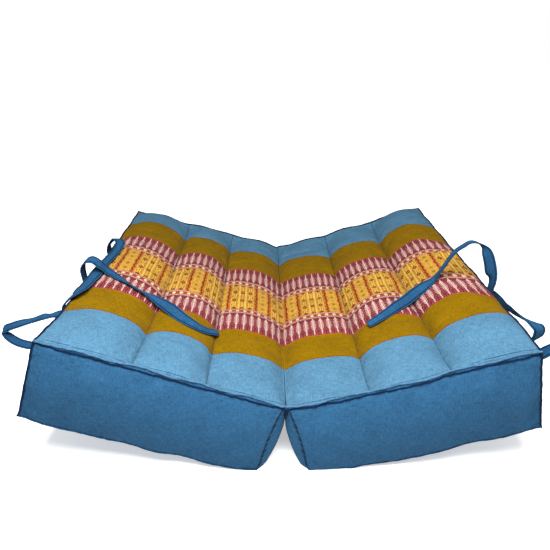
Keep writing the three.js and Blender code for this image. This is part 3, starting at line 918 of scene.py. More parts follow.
# %% Subdivide and keep the result
def keep_result(piece):
    """Replace a piece's mesh with what its modifiers make of it."""
    bpy.context.view_layer.update()
    now = bpy.context.evaluated_depsgraph_get()
    mesh = bpy.data.meshes.new_from_object(
        piece.evaluated_get(now), preserve_all_data_layers=True, depsgraph=now)
    piece.modifiers.clear()
    old = piece.data
    piece.data = mesh
    bpy.data.meshes.remove(old)
    return piece


for block, (piece, _, _) in cases.items():
    smooth = piece.modifiers.new("smooth", "SUBSURF")
    smooth.levels = 1
    smooth.render_levels = 1
    smooth.uv_smooth = "NONE"
    keep_result(piece)
    mesh = piece.data
    co = np.empty(len(mesh.vertices) * 3)
    mesh.vertices.foreach_get("co", co)
    co = keep_clear(co.reshape(-1, 3) * 1000, TILT[block][0]) / 1000
    mesh.vertices.foreach_set("co", co.ravel())
    mesh.update()
    print(piece.name, len(mesh.polygons) * 2, "triangles")

# %% [markdown]
# ## Woven threads
# The case is plain-woven cotton, and the wide band across the top is patterned by coloured weft threads.
# Real threads lie about 0.4 mm apart, finer than a pixel of the render, so the grain is drawn about three
# times as coarse. It could come from an image, but a few nodes do it at any size.
#
# The two small repeats are charted the way a weaver does it, on squared paper: each letter is the thread
# that shows in one square. The chart is half of a repeat, and the nodes mirror it. A row of letters is
# packed into one number, which a colour ramp holds, and the nodes take the number apart again.

# %% Colours of the threads
THREADS = {
    ".": "502022",  # crimson ground
    "w": "947872",  # pale pink figures
    "p": "7a373b",  # rose
    "k": "350f12",  # dark madder
    "y": "9f835e",  # straw
    "m": "602f0d",  # rust red
    "o": "6d3f07",  # orange
    "l": "886963",  # mauve line
}
THREAD_LETTERS = list(THREADS)

# %% The chart of the trees
# Distances in millimetres: from tree to tree, of a tree from the hinge, and of the row's two edges from
# the middle of the weave. The first letter of a row lies in the middle of a tree.
TREE_PITCH = 11.5
TREE_PHASE = 6.2
TREES_FROM = 40.0
TREES_TO = 104.0
TREE_CHART = [
    "llllll",
    "pl.pl.",
    "yyo.mm",
    "yyyomm",
    "yyo.mm",
    ".lp.lp",
    "llllll",
    "......",
    "w.....",
    "w.....",
    "ww....",
    "www...",
    "w.w..p",
    "ww....",
    "w.ww.p",
    "ww....",
    "w.ww..",
    "ww...p",
    "w.ww..",
    "ww....",
    "w.ww.p",
    "ww....",
    "w.w...",
    "ww...p",
    "w.....",
    "w..p..",
    "w.p...",
    "w....k",
    "w.p.p.",
    "w.k.pk",
    "p.p.pk",
    "oooooo",
]

# %% The chart of the flowered middle
BAND_PITCH = 68.0
BAND_MIDDLE = -34.5
BAND_THREADS = {
    "g": "845f20",  # gold ground
    "y": "947734",  # bright yellow strokes
    "m": "57230a",  # maroon
    "o": "86481f",  # orange red
    "d": "6d4514",  # brown gold between the strokes
}
BAND_LETTERS = list(BAND_THREADS)
BAND_CHART = [
    "ggyggmmodgdygydgyydg",
    "gygggmmogydygyggyygy",
    "ggyygmmodygydygdyydg",
    "ygggyomogdygyydgyygy",
    "gyyggommdygydyggyydg",
    "ggggyommgydydygdyygy",
    "dgyggomodgydmdygyydm",
    "ddggymmogydmmmdgyymm",
    "dgyggmmodydmymdgyymg",
    "ggygymmogydmmmdgyymm",
    "gygggomodgydmdygyydm",
    "ggyygommgydydygdyygy",
    "yggggommdygydyggyydg",
    "gygygomogdygyydgyygy",
    "ggyggmmodygydygdyydg",
    "dgggymmogydygyggyygy",
    "ddyggmmodgdygydgyydg",
    "dggygomogydygydgyygy",
    "gygygommdygydygdyydg",
    "ggyggommgydydyggyygy",
    "yggygomodgydmdygyydm",
    "gygggmmogydmmmdgyymm",
    "ggygymmodydmmmdgyymg",
    "mgmgmmmmmgmgmmmgmgmm",
]


# %% Read a chart with nodes
def constant_ramp(ramp, colours):
    """Steps of even width, one for each colour."""
    ramp.interpolation = "CONSTANT"
    while len(ramp.elements) > 1:
        ramp.elements.remove(ramp.elements[-1])
    ramp.elements[0].position = 0
    ramp.elements[0].color = colours[0]
    for n, colour in enumerate(colours[1:], 1):
        ramp.elements.new(n / len(colours)).color = colour


def chart_colour(tree, chart, letters, colours, across, along):
    """The colour of the chart's square at a share of its columns across and of its rows along."""
    columns = len(chart[0])
    # A letter's number has three bits, and each bit's ones and noughts along a row make one whole number
    packed = []
    for row in chart:
        numbers = [letters.index(letter) for letter in row]
        bits = [sum((number >> bit & 1) << n for n, number in enumerate(numbers)) for bit in range(3)]
        packed.append([value / 2 ** columns for value in bits] + [1.0])
    lookup = add(tree, "ShaderNodeValToRGB", None, {"Fac": along})
    constant_ramp(lookup.color_ramp, packed)
    parts = add(tree, "ShaderNodeSeparateColor", None, {"Color": lookup.outputs["Color"]})
    # A bit is set where the whole number, divided by two for each column before it, comes out odd. The
    # quarter that is added keeps a number that the ramp holds a hair too low
    column = add(tree, "ShaderNodeMath", {"operation": "MULTIPLY"}, {0: across, 1: float(columns)})
    column = add(tree, "ShaderNodeMath", {"operation": "FLOOR"}, {0: column.outputs[0]})
    place = add(tree, "ShaderNodeMath", {"operation": "POWER"}, {0: 2.0, 1: column.outputs[0]})
    total = None
    for bit, channel in enumerate(("Red", "Green", "Blue")):
        code = add(tree, "ShaderNodeMath", {"operation": "MULTIPLY_ADD"},
                   {0: parts.outputs[channel], 1: float(2 ** columns), 2: 0.25})
        shifted = add(tree, "ShaderNodeMath", {"operation": "DIVIDE"},
                      {0: code.outputs[0], 1: place.outputs[0]})
        whole = add(tree, "ShaderNodeMath", {"operation": "FLOOR"}, {0: shifted.outputs[0]})
        odd = add(tree, "ShaderNodeMath", {"operation": "MODULO"}, {0: whole.outputs[0], 1: 2.0})
        total = add(tree, "ShaderNodeMath", {"operation": "MULTIPLY_ADD"},
                    {0: odd.outputs[0], 1: float(2 ** bit), 2: total.outputs[0] if total else 0.0})
    # The middle of one of the palette's eight steps
    number = add(tree, "ShaderNodeMath", {"operation": "MULTIPLY_ADD"},
                 {0: total.outputs[0], 1: 1 / 8, 2: 1 / 16})
    palette = add(tree, "ShaderNodeValToRGB", None, {"Fac": number.outputs[0]})
    colours = list(colours) + [colours[-1]] * (8 - len(colours))
    constant_ramp(palette.color_ramp, colours)
    return palette.outputs["Color"]


# %% [markdown]
# ## Cotton
# Cotton has no gloss: light scatters between its fibres and a little of it comes back at the rim, which
# a soft sheen gives. Dyed threads take the dye unevenly, so the colour drifts a little along the threads.

# %% A woven cotton material
# How much each noise is stretched along the warp and along the weft: streaks 1 mm wide and 8 mm long
THREAD_STRETCH = ((0.9, 0.13, 0.5), (0.11, 0.9, 0.5))
THREAD_CONTRAST = 0.95
THREAD_HEIGHT = 0.0004
DYE_DRIFT = 0.46
MEAN_SHADE = -0.18
# Waves of the dye's drift and of a seam's waver, for each millimetre
DRIFT_SCALE = 0.03
WAVER_SCALE = 0.16
# Puckers: how far apart they are along a seam and how long they are drawn, in millimetres, and how far
# from it they reach and how high they stand, in metres
PUCKER_SPACING = 7.5
PUCKER_LENGTH = 38
PUCKER_REACH = 0.022
PUCKER_HEIGHT = 0.0022
# The shaded line in a seam wavers by up to 4 mm, so up to that much is added to the distance from the
# seam, and the shade fades between these two distances
SEAM_WAVER = 0.004
DITCH_FROM = 0.0021
DITCH_TO = 0.0036


def thread_streaks(tree, place):
    """Threads one way and the other, as the sum of two stretched noises."""
    streaks = []
    for stretch in THREAD_STRETCH:
        drawn = add(tree, "ShaderNodeVectorMath", {"operation": "MULTIPLY"}, {0: place, 1: stretch})
        streak = add(tree, "ShaderNodeTexNoise", None,
                     {"Vector": drawn.outputs[0], "Scale": 1.0, "Detail": 2.0})
        streaks.append(streak.outputs[0])
    return add(tree, "ShaderNodeMath", {"operation": "ADD"}, {0: streaks[0], 1: streaks[1]}).outputs[0]


def seam_ditch(tree, place, beside, at_end, ditch):
    """The shade of the line where cloth turns down into a seam."""
    nearest = add(tree, "ShaderNodeMath", {"operation": "MINIMUM"}, {0: beside, 1: at_end})
    waver = add(tree, "ShaderNodeTexNoise", None, {"Vector": place, "Scale": WAVER_SCALE, "Detail": 2.0})
    nearest = add(tree, "ShaderNodeMath", {"operation": "MULTIPLY_ADD"},
                  {0: waver.outputs[0], 1: SEAM_WAVER, 2: nearest.outputs[0]})
    shade = add(tree, "ShaderNodeMapRange", {"interpolation_type": "SMOOTHSTEP"},
                {0: nearest.outputs[0], 1: DITCH_FROM, 2: DITCH_TO, 3: ditch, 4: 1.0})
    return shade.outputs[0]


def puckers(tree, ways):
    """The height of the puckers that run away from the seams, for each way that cloth lies beside one."""
    pulls = None
    for running, distance in ways:
        away = add(tree, "ShaderNodeMath", {"operation": "MULTIPLY"}, {0: distance, 1: 1000 / PUCKER_LENGTH})
        beat = add(tree, "ShaderNodeMath", {"operation": "MULTIPLY"}, {0: running, 1: 1 / PUCKER_SPACING})
        spot = add(tree, "ShaderNodeCombineXYZ", None, {"X": beat.outputs[0], "Y": away.outputs[0]})
        folds = add(tree, "ShaderNodeTexNoise", None,
                    {"Vector": spot.outputs[0], "Scale": 1.0, "Detail": 1.5})
        fade = add(tree, "ShaderNodeMapRange", {"interpolation_type": "SMOOTHERSTEP"},
                   {0: distance, 1: 0.0, 2: PUCKER_REACH, 3: 1.0, 4: 0.0})
        pulls = add(tree, "ShaderNodeMath", {"operation": "MULTIPLY_ADD"},
                    {0: folds.outputs[0], 1: fade.outputs[0], 2: pulls.outputs[0] if pulls else 0.0})
    return pulls.outputs[0]


def cotton(name, colour_of, bump=0.5, ditch=None):
    """A cotton cloth of the colour that colour_of(tree, across, along) builds from its millimetres.

    With a ditch it reads the case's cloth map and its seams, and without one only the object's place.
    """
    material = bpy.data.materials.new(name)
    material.use_nodes = True
    tree = material.node_tree
    tree.nodes.clear()
    if ditch is None:
        start = add(tree, "ShaderNodeTexCoord").outputs["Object"]
    else:
        start = add(tree, "ShaderNodeUVMap", {"uv_map": "cloth"}).outputs["UV"]
    place = add(tree, "ShaderNodeVectorMath", {"operation": "SCALE"}, {0: start, "Scale": 1000.0}).outputs[0]
    parts = add(tree, "ShaderNodeSeparateXYZ", None, {0: place})
    across, along = parts.outputs["X"], parts.outputs["Y"]
    colour = colour_of(tree, across, along)

    threads = thread_streaks(tree, place)
    drift = add(tree, "ShaderNodeTexNoise", None, {"Vector": place, "Scale": DRIFT_SCALE, "Detail": 4.0})
    shade = add(tree, "ShaderNodeMath", {"operation": "MULTIPLY_ADD"},
                {0: threads, 1: THREAD_CONTRAST, 2: MEAN_SHADE})
    shade = add(tree, "ShaderNodeMath", {"operation": "MULTIPLY_ADD"},
                {0: drift.outputs[0], 1: DYE_DRIFT, 2: shade.outputs[0]})
    grain = add(tree, "ShaderNodeBump", None,
                {"Strength": bump, "Distance": THREAD_HEIGHT, "Height": threads})
    if ditch is not None:
        seams = add(tree, "ShaderNodeUVMap", {"uv_map": "seams"})
        seam_parts = add(tree, "ShaderNodeSeparateXYZ", None, {0: seams.outputs["UV"]})
        beside, at_end = seam_parts.outputs["X"], seam_parts.outputs["Y"]
        shade = add(tree, "ShaderNodeMath", {"operation": "MULTIPLY"},
                    {0: shade.outputs[0], 1: seam_ditch(tree, place, beside, at_end, ditch)})
        relief = add(tree, "ShaderNodeBump", None,
                     {"Strength": 1.0, "Distance": PUCKER_HEIGHT,
                      "Height": puckers(tree, ((along, beside), (across, at_end)))})
        tree.links.new(relief.outputs["Normal"], grain.inputs["Normal"])
    level = add(tree, "ShaderNodeVectorMath", {"operation": "SCALE"}, {0: colour, "Scale": shade.outputs[0]})
    surface = add(tree, "ShaderNodeBsdfPrincipled", None,
                  {"Base Color": level.outputs[0], "Roughness": 0.92, "Specular IOR Level": 0.03,
                   "Sheen Weight": 0.012, "Sheen Roughness": 0.5, "Normal": grain.outputs["Normal"]})
    add(tree, "ShaderNodeOutputMaterial", None, {"Surface": surface.outputs["BSDF"]})
    return material


# %% Ways to dye a cloth
# Painted light on the boxing: darker low on a panel and brighter near its top, from one height to another in
# millimetres
LIGHT_FROM_HEIGHT, LIGHT_TO_HEIGHT = 15.0, 92.0
SHADE_BELOW, SHADE_ABOVE = 0.86, 1.2
# The shade beside a strap's stitching, from one distance to another in metres
SHADOW_FROM, SHADOW_TO = 0.0004, 0.002
STITCH_SHADOW = 0.4


def plain(code):
    """A cloth of one dye."""
    def with_dye(tree, across, along):
        node = add(tree, "ShaderNodeRGB")
        node.outputs[0].default_value = linear(code)
        return node.outputs[0]
    return with_dye


def painted_height_light(code):
    """A cloth of one dye with painted light: darker low on a panel and brighter near the top seam."""
    def with_dye(tree, across, along):
        dye = plain(code)(tree, across, along)
        light_share = add(tree, "ShaderNodeMapRange", None,
                    {0: along, 1: LIGHT_FROM_HEIGHT, 2: LIGHT_TO_HEIGHT, 3: SHADE_BELOW, 4: SHADE_ABOVE})
        return add(tree, "ShaderNodeVectorMath", {"operation": "SCALE"},
                   {0: dye, "Scale": light_share.outputs[0]}).outputs[0]
    return with_dye


def stitch_shaded(code):
    """A strap of one dye, with painted shade along its two lines of stitching."""
    def with_dye(tree, across, along):
        dye = plain(code)(tree, across, along)
        cloth = add(tree, "ShaderNodeUVMap", {"uv_map": "cloth"})
        parts = add(tree, "ShaderNodeSeparateXYZ", None, {0: cloth.outputs["UV"]})
        # The underside of a strap lies further on in the map, and is folded back on its upper side
        half_way = UNDERSIDE_ON_MAP / 2
        shifted = add(tree, "ShaderNodeMath", {"operation": "ADD"}, {0: parts.outputs["X"], 1: half_way})
        folded = add(tree, "ShaderNodeMath", {"operation": "MODULO"},
                     {0: shifted.outputs[0], 1: UNDERSIDE_ON_MAP})
        beside = add(tree, "ShaderNodeMath", {"operation": "SUBTRACT"}, {0: folded.outputs[0], 1: half_way})
        beside = add(tree, "ShaderNodeMath", {"operation": "ABSOLUTE"}, {0: beside.outputs[0]})
        off_line = add(tree, "ShaderNodeMath", {"operation": "SUBTRACT"},
                       {0: beside.outputs[0], 1: STRAP_STITCH_AT / 1000})
        off_line = add(tree, "ShaderNodeMath", {"operation": "ABSOLUTE"}, {0: off_line.outputs[0]})
        shadow = add(tree, "ShaderNodeMapRange", {"interpolation_type": "SMOOTHSTEP"},
                     {0: off_line.outputs[0], 1: SHADOW_FROM, 2: SHADOW_TO, 3: STITCH_SHADOW, 4: 1.0})
        return add(tree, "ShaderNodeVectorMath", {"operation": "SCALE"},
                   {0: dye, "Scale": shadow.outputs[0]}).outputs[0]
    return with_dye


# %% The band across the top
HALF_DEPTH = BLOCK_DEPTH / 2
OLIVE_TO = 160.0
ORANGE_TO = 161.8
# These keep the last column and the last row of a chart inside it
JUST_OVER = 0.001
UNDER_ONE = 0.9999


def band_colour(tree, across, along):
    """Blue, olive, the row of trees and the flowered middle, mirrored about the middle of the depth."""
    from_middle = add(tree, "ShaderNodeMath", {"operation": "SUBTRACT"}, {0: along, 1: HALF_DEPTH})
    distance = add(tree, "ShaderNodeMath", {"operation": "ABSOLUTE"}, {0: from_middle.outputs[0]}).outputs[0]

    # Row of trees and its border
    tree_place = add(tree, "ShaderNodeMath", {"operation": "SUBTRACT"}, {0: across, 1: TREE_PHASE})
    tree_half = add(tree, "ShaderNodeMath", {"operation": "PINGPONG"},
                    {0: tree_place.outputs[0], 1: TREE_PITCH / 2})
    tree_across = add(tree, "ShaderNodeMath", {"operation": "DIVIDE"},
                      {0: tree_half.outputs[0], 1: TREE_PITCH / 2 + JUST_OVER})
    tree_along = add(tree, "ShaderNodeMapRange", None,
                     {0: distance, 1: TREES_FROM, 2: TREES_TO, 3: 0.0, 4: UNDER_ONE})
    trees = chart_colour(tree, TREE_CHART, THREAD_LETTERS, [linear(c) for c in THREADS.values()],
                         tree_across.outputs[0], tree_along.outputs[0])

    # Flowered middle
    shifted = add(tree, "ShaderNodeMath", {"operation": "SUBTRACT"}, {0: across, 1: BAND_MIDDLE})
    band_half = add(tree, "ShaderNodeMath", {"operation": "PINGPONG"},
                    {0: shifted.outputs[0], 1: BAND_PITCH / 2})
    band_across = add(tree, "ShaderNodeMath", {"operation": "DIVIDE"},
                      {0: band_half.outputs[0], 1: BAND_PITCH / 2 + JUST_OVER})
    band_along = add(tree, "ShaderNodeMapRange", None,
                     {0: distance, 1: 0.0, 2: TREES_FROM, 3: 0.0, 4: UNDER_ONE})
    middle = chart_colour(tree, BAND_CHART, BAND_LETTERS, [linear(c) for c in BAND_THREADS.values()],
                          band_across.outputs[0], band_along.outputs[0])

    # Plain bands outside the trees: olive, a thin orange line, and blue
    plain_part = add(tree, "ShaderNodeMath", {"operation": "DIVIDE"}, {0: distance, 1: HALF_DEPTH})
    stripes = add(tree, "ShaderNodeValToRGB", None, {"Fac": plain_part.outputs[0]})
    stripes.color_ramp.interpolation = "CONSTANT"
    stripes.color_ramp.elements[0].color = linear("5c4400")
    stripes.color_ramp.elements[1].position = OLIVE_TO / HALF_DEPTH
    stripes.color_ramp.elements[1].color = linear("563306")
    stripes.color_ramp.elements.new(ORANGE_TO / HALF_DEPTH).color = linear("37576c")

    in_trees = add(tree, "ShaderNodeMath", {"operation": "LESS_THAN"}, {0: distance, 1: TREES_TO})
    in_middle = add(tree, "ShaderNodeMath", {"operation": "LESS_THAN"}, {0: distance, 1: TREES_FROM})
    first = add(tree, "ShaderNodeMix", {"data_type": "RGBA"},
                {0: in_trees.outputs[0], 6: stripes.outputs["Color"], 7: trees})
    second = add(tree, "ShaderNodeMix", {"data_type": "RGBA"},
                 {0: in_middle.outputs[0], 6: first.outputs[2], 7: middle})
    return second.outputs[2]


# %% The cloths of the cushion
# Band: plain-woven cotton with coloured weft figures. Matt, with soft shade where it turns into a seam.
band_cloth = cotton("patterned_band_cotton", band_colour, ditch=0.7)
# Boxing: plain-woven blue cotton with uneven dye, which reads as fine streaks both ways. Painted light makes
# each panel darker low down and brighter near its top, and painted shade lines its seams.
boxing_cloth = cotton("plain_blue_cotton", painted_height_light("1c3d57"), ditch=0.32)
# Rolled seam: the band cloth's own edge, turned in and packed hard, so its grain is coarser.
seam_cloth = cotton("rolled_seam_cotton", plain("36556e"), bump=0.8)
# Turned edges: the boxing's edges, painted darker than the boxing for the seam's shade.
edge_shade_cloth = cotton("turned_edge_cotton", plain("112f4a"), bump=0.8)
# Seam shade: the same edges where they lie in the seam's own shade, painted nearly black for that shade.
seam_shade_cloth = cotton("painted_seam_shade_cotton", plain("07162c"), bump=0.8)
# Ties: blue cotton folded over twice and pressed, with painted shade along the line of stitching at each
# edge.
tie_cloth = cotton("folded_tie_cotton", stitch_shaded("183955"), bump=0.8)
# Strip: the seam allowance that hangs in the hinge, in the shade of both blocks.
strip_cloth = cotton("dark_seam_cotton", plain("0e2841"))
# Thread: navy cotton sewing thread, nearly black.
thread = cotton("navy_sewing_thread", plain("051328"))
for piece, _, _ in cases.values():
    piece.data.materials.append(band_cloth)
    piece.data.materials.append(boxing_cloth)
for piece, _, _ in straps.values():
    piece.data.materials.append(tie_cloth)
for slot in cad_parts["hinge_strip"].material_slots:
    slot.material = strip_cloth
cloths = (band_cloth, boxing_cloth, seam_cloth, edge_shade_cloth, seam_shade_cloth, tie_cloth, strip_cloth, thread)
print("materials:", [cloth.name for cloth in cloths])

# %% [markdown]
# ## Seams and stitches
# Where two panels are sewn together, their turned-in edges make a firm roll that stands a little proud of
# the case, and it never runs quite straight. Geometry Nodes can lay such a roll along any row of points:
# the row becomes a curve, the curve is shaken a little, and a flat oval is swept along it. A second tree
# sets stitches along a row. Both read the direction that the cloth faces from the row's own attribute.

# %% A row of points as a line to sew along
def line_object(name, rows):
    """Open rows of points, each with the direction it faces, as one mesh of edges."""
    points = []
    facing = []
    edges = []
    for row in rows:
        edges.extend((len(points) + n, len(points) + n + 1) for n in range(len(row) - 1))
        points.extend(tuple(point) for point, _ in row)
        facing.extend(value for _, direction in row for value in direction)
    mesh = bpy.data.meshes.new(name)
    mesh.from_pydata(points, edges, [])
    mesh.attributes.new("facing", "FLOAT_VECTOR", "POINT").data.foreach_set("vector", facing)
    piece = bpy.data.objects.new(name, mesh)
    scene.collection.objects.link(piece)
    return piece


def sew(piece, tree, values):
    """Run a tree on a line, keep its mesh, and leave no modifier."""
    modifier = piece.modifiers.new("sewing", "NODES")
    modifier.node_group = tree
    for item in tree.interface.items_tree:
        if item.in_out == "INPUT" and item.name in values:
            modifier[item.identifier] = values[item.name]
    keep_result(piece)
    print(piece.name, len(piece.data.polygons), "faces")
    return piece


# %% The tree of a rolled seam
ROLL_STEP = 0.003
SHAKE_SCALE = 110.0
ROLL_SIDES = 8


def named_tree(name, inputs):
    """A Geometry Nodes tree with its inputs, and one geometry coming out."""
    tree = bpy.data.node_groups.new(name, "GeometryNodeTree")
    for label, kind in inputs:
        tree.interface.new_socket(label, in_out="INPUT", socket_type=kind)
    tree.interface.new_socket("Mesh", in_out="OUTPUT", socket_type="NodeSocketGeometry")
    return tree, add(tree, "NodeGroupInput").outputs


seam_tree, given = named_tree("rolled seam", (
    ("Line", "NodeSocketGeometry"), ("Width", "NodeSocketFloat"), ("Height", "NodeSocketFloat"),
    ("Unevenness", "NodeSocketFloat"), ("Cloth", "NodeSocketMaterial")))
facing = add(seam_tree, "GeometryNodeInputNamedAttribute", {"data_type": "FLOAT_VECTOR"},
             {"Name": "facing"})
curve = add(seam_tree, "GeometryNodeMeshToCurve", None, {"Mesh": given["Line"]})
fine = add(seam_tree, "GeometryNodeResampleCurve", {"mode": "LENGTH"},
           {"Curve": curve.outputs[0], "Length": ROLL_STEP})
position = add(seam_tree, "GeometryNodeInputPosition")
shake = add(seam_tree, "ShaderNodeTexNoise", None,
            {"Vector": position.outputs[0], "Scale": SHAKE_SCALE, "Detail": 1.0})
centred = add(seam_tree, "ShaderNodeVectorMath", {"operation": "SUBTRACT"},
              {0: shake.outputs["Color"], 1: (0.5, 0.5, 0.5)})
shaken = add(seam_tree, "ShaderNodeVectorMath", {"operation": "SCALE"},
             {0: centred.outputs[0], "Scale": given["Unevenness"]})
moved = add(seam_tree, "GeometryNodeSetPosition", None,
            {"Geometry": fine.outputs[0], "Offset": shaken.outputs[0]})
turned = add(seam_tree, "GeometryNodeSetCurveNormal", {"mode": "FREE"},
             {"Curve": moved.outputs[0], "Normal": facing.outputs[0]})
ring = add(seam_tree, "GeometryNodeCurvePrimitiveCircle", None, {"Resolution": ROLL_SIDES, "Radius": 0.5})
oval_size = add(seam_tree, "ShaderNodeCombineXYZ", None,
                {"X": given["Height"], "Y": given["Width"], "Z": 1.0})
oval = add(seam_tree, "GeometryNodeTransform", None,
           {"Geometry": ring.outputs[0], "Scale": oval_size.outputs[0]})
swept = add(seam_tree, "GeometryNodeCurveToMesh", None,
            {"Curve": turned.outputs[0], "Profile Curve": oval.outputs[0], "Fill Caps": True})
rounded = add(seam_tree, "GeometryNodeSetShadeSmooth", None, {"Geometry": swept.outputs[0]})
plain_mesh = add(seam_tree, "GeometryNodeRealizeInstances", None, {"Geometry": rounded.outputs[0]})
dressed = add(seam_tree, "GeometryNodeSetMaterial", None,
              {"Geometry": plain_mesh.outputs[0], "Material": given["Cloth"]})
add(seam_tree, "NodeGroupOutput", None, {"Mesh": dressed.outputs[0]})
print("rolled seam:", len(seam_tree.nodes), "nodes")

# %% The tree of a row of stitches
stitch_tree, given = named_tree("row of stitches", (
    ("Line", "NodeSocketGeometry"), ("Pitch", "NodeSocketFloat"), ("Length", "NodeSocketFloat"),
    ("Thickness", "NodeSocketFloat"), ("Thread", "NodeSocketMaterial")))
facing = add(stitch_tree, "GeometryNodeInputNamedAttribute", {"data_type": "FLOAT_VECTOR"},
             {"Name": "facing"})
curve = add(stitch_tree, "GeometryNodeMeshToCurve", None, {"Mesh": given["Line"]})
spots = add(stitch_tree, "GeometryNodeCurveToPoints", {"mode": "LENGTH"},
            {"Curve": curve.outputs[0], "Length": given["Pitch"]})
along_line = add(stitch_tree, "FunctionNodeAlignRotationToVector", {"axis": "X"},
                 {"Vector": spots.outputs["Tangent"]})
upright_stitch = add(stitch_tree, "FunctionNodeAlignRotationToVector", {"axis": "Z", "pivot_axis": "X"},
                     {"Rotation": along_line.outputs[0], "Vector": facing.outputs[0]})
bead = add(stitch_tree, "GeometryNodeMeshUVSphere", None, {"Segments": 6, "Rings": 4, "Radius": 0.5})
stitch_size = add(stitch_tree, "ShaderNodeCombineXYZ", None,
                  {"X": given["Length"], "Y": given["Thickness"], "Z": given["Thickness"]})
long_bead = add(stitch_tree, "GeometryNodeTransform", None,
                {"Geometry": bead.outputs["Mesh"], "Scale": stitch_size.outputs[0]})
set_out = add(stitch_tree, "GeometryNodeInstanceOnPoints", None,
              {"Points": spots.outputs["Points"], "Instance": long_bead.outputs[0],
               "Rotation": upright_stitch.outputs[0]})
real = add(stitch_tree, "GeometryNodeRealizeInstances", None, {"Geometry": set_out.outputs[0]})
smooth_stitches = add(stitch_tree, "GeometryNodeSetShadeSmooth", None, {"Geometry": real.outputs[0]})
dyed = add(stitch_tree, "GeometryNodeSetMaterial", None,
           {"Geometry": smooth_stitches.outputs[0], "Material": given["Thread"]})
add(stitch_tree, "NodeGroupOutput", None, {"Mesh": dyed.outputs[0]})
print("row of stitches:", len(stitch_tree.nodes), "nodes")

# %% Rows on a case that are sewn
ROLL_ABOVE_FLOOR = 0.0018


def case_rows(block, wanted, raise_by):
    """Rows of the case's own points, lifted off the cloth. wanted holds each row's fixed grid numbers."""
    piece, points, _ = cases[block]
    vertices = piece.data.vertices
    number_of = {tuple(point): n for n, point in enumerate(points.tolist())}
    rows = []
    for fixed in wanted:
        row = []
        for step in range(ENDS[fixed.index(None)] + 1):
            key = tuple(step if value is None else value for value in fixed)
            vertex = vertices[number_of[key]]
            place = vertex.co + vertex.normal * raise_by
            place.z = max(place.z, ROLL_ABOVE_FLOOR)
            row.append((place, vertex.normal.copy()))
        rows.append(row)
    return rows


# A row's grid numbers outwards, backwards and upwards, with None for the way that it runs
FRONT_SEAM = ((None, 0, ENDS[2]),)
LOWER_SEAMS = ((None, 0, 0), (None, ENDS[1], 0), (ENDS[0], None, 0))
OTHER_SEAMS = (
    (None, ENDS[1], ENDS[2]),
    (ENDS[0], None, ENDS[2]),
    (ENDS[0], 0, None),
    (ENDS[0], ENDS[1], None),
)
SHADOW_LINE_ROWS = ((None, 0, ENDS[2] - 1),)
CREASE_SHADE_ROWS = ((None, 1, ENDS[2]),)
SEWN_LINES = (
    (CHANNEL_SQUARES, None, ENDS[2]),
    (2 * CHANNEL_SQUARES, None, ENDS[2]),
    (0, 0, None),
    (0, ENDS[1], None),
)

# %% Sew the cases
# Name, rows, lift off the cloth, width, height and unevenness in metres, and cloth
SEAM_ROLLS = (
    ("front_seam", FRONT_SEAM, 0.0006, 0.0024, 0.0028, 0.0024, seam_cloth),
    ("lower_seams", LOWER_SEAMS, 0.0002, 0.0018, 0.0020, 0.0014, edge_shade_cloth),
    ("edge_seams", OTHER_SEAMS, 0.0006, 0.0020, 0.0026, 0.0018, seam_shade_cloth),
    # The shadow line is a near-black roll 3 mm under the front seam: painted shadow under the seam's ridge.
    ("turned_edge", SHADOW_LINE_ROWS, 0.0004, 0.0024, 0.0020, 0.0032, seam_shade_cloth),
    # The crease roll is a thin dark line 3 mm in from the front seam: painted shade of the crease.
    ("crease", CREASE_SHADE_ROWS, -0.0001, 0.0007, 0.0007, 0.0012, edge_shade_cloth),
)
SEWN_LINE_LIFT = 0.0002
SEWN_LINE_STITCHES = {"Pitch": 0.0042, "Length": 0.0030, "Thickness": 0.0007, "Thread": thread}
seams = []
stitching = []
for block in cases:
    for name, rows, lift, width, height, unevenness, cloth in SEAM_ROLLS:
        seams.append(sew(
            line_object(f"{name}_{block}", case_rows(block, rows, lift)), seam_tree,
            {"Width": width, "Height": height, "Unevenness": unevenness, "Cloth": cloth}))
    sewn_lines = line_object(f"quilting_{block}", case_rows(block, SEWN_LINES, SEWN_LINE_LIFT))
    stitching.append(sew(sewn_lines, stitch_tree, SEWN_LINE_STITCHES))

# %% [markdown]
# ## Bar tack and the stitching of the ties
# At its front end the hinge is held by a bar tack, a few threads that run to and fro over the place where
# the strain is greatest and then down between the blocks. The ties are stitched along both edges.

# %% Sew the hinge and the ties
TACK = (
    (-0.0035, -0.2540, 0.0965),
    (0.0035, -0.2545, 0.0945),
    (-0.0025, -0.2545, 0.0925),
    (0.0025, -0.2540, 0.0905),
    (0.0, -0.2530, 0.0860),
    (0.0, -0.2515, 0.0800),
)
TACK_ROLL = {"Width": 0.0032, "Height": 0.0026, "Unevenness": 0.0012, "Cloth": thread}
TIE_STITCHES = {"Pitch": 0.0034, "Length": 0.0029, "Thickness": 0.0008, "Thread": thread}
tack_line = line_object("hinge_tack", [[(place, (0, -1, 0)) for place in TACK]])
stitching.append(sew(tack_line, seam_tree, TACK_ROLL))
tie_lines = line_object("tie_stitching", [row for _, _, rows in straps.values() for row in rows])
tie_stitches = sew(tie_lines, stitch_tree, TIE_STITCHES)

# %% [markdown]
# ## Floor and light
# The photograph was taken on a sweep of white paper, under large soft lamps that leave hardly any shadow.
# The paper glows a little here, as if it were lit from all round, and one square lamp stands in front.

# %% Floor
PAPER_WHITE = (0.93, 0.93, 0.93, 1)
LAMP_WHITE = (1, 1, 1, 1)
NEAR_DISTANCE, GLOW_NEAR = 0.35, 0.46
FAR_DISTANCE, GLOW_FAR = 1.1, 0.9
floor_mesh = bpy.data.meshes.new("floor")
floor_mesh.from_pydata([(-8, -4, 0), (8, -4, 0), (8, 12, 0), (-8, 12, 0)], [], [(0, 1, 2, 3)])
floor = bpy.data.objects.new("floor", floor_mesh)
scene.collection.objects.link(floor)
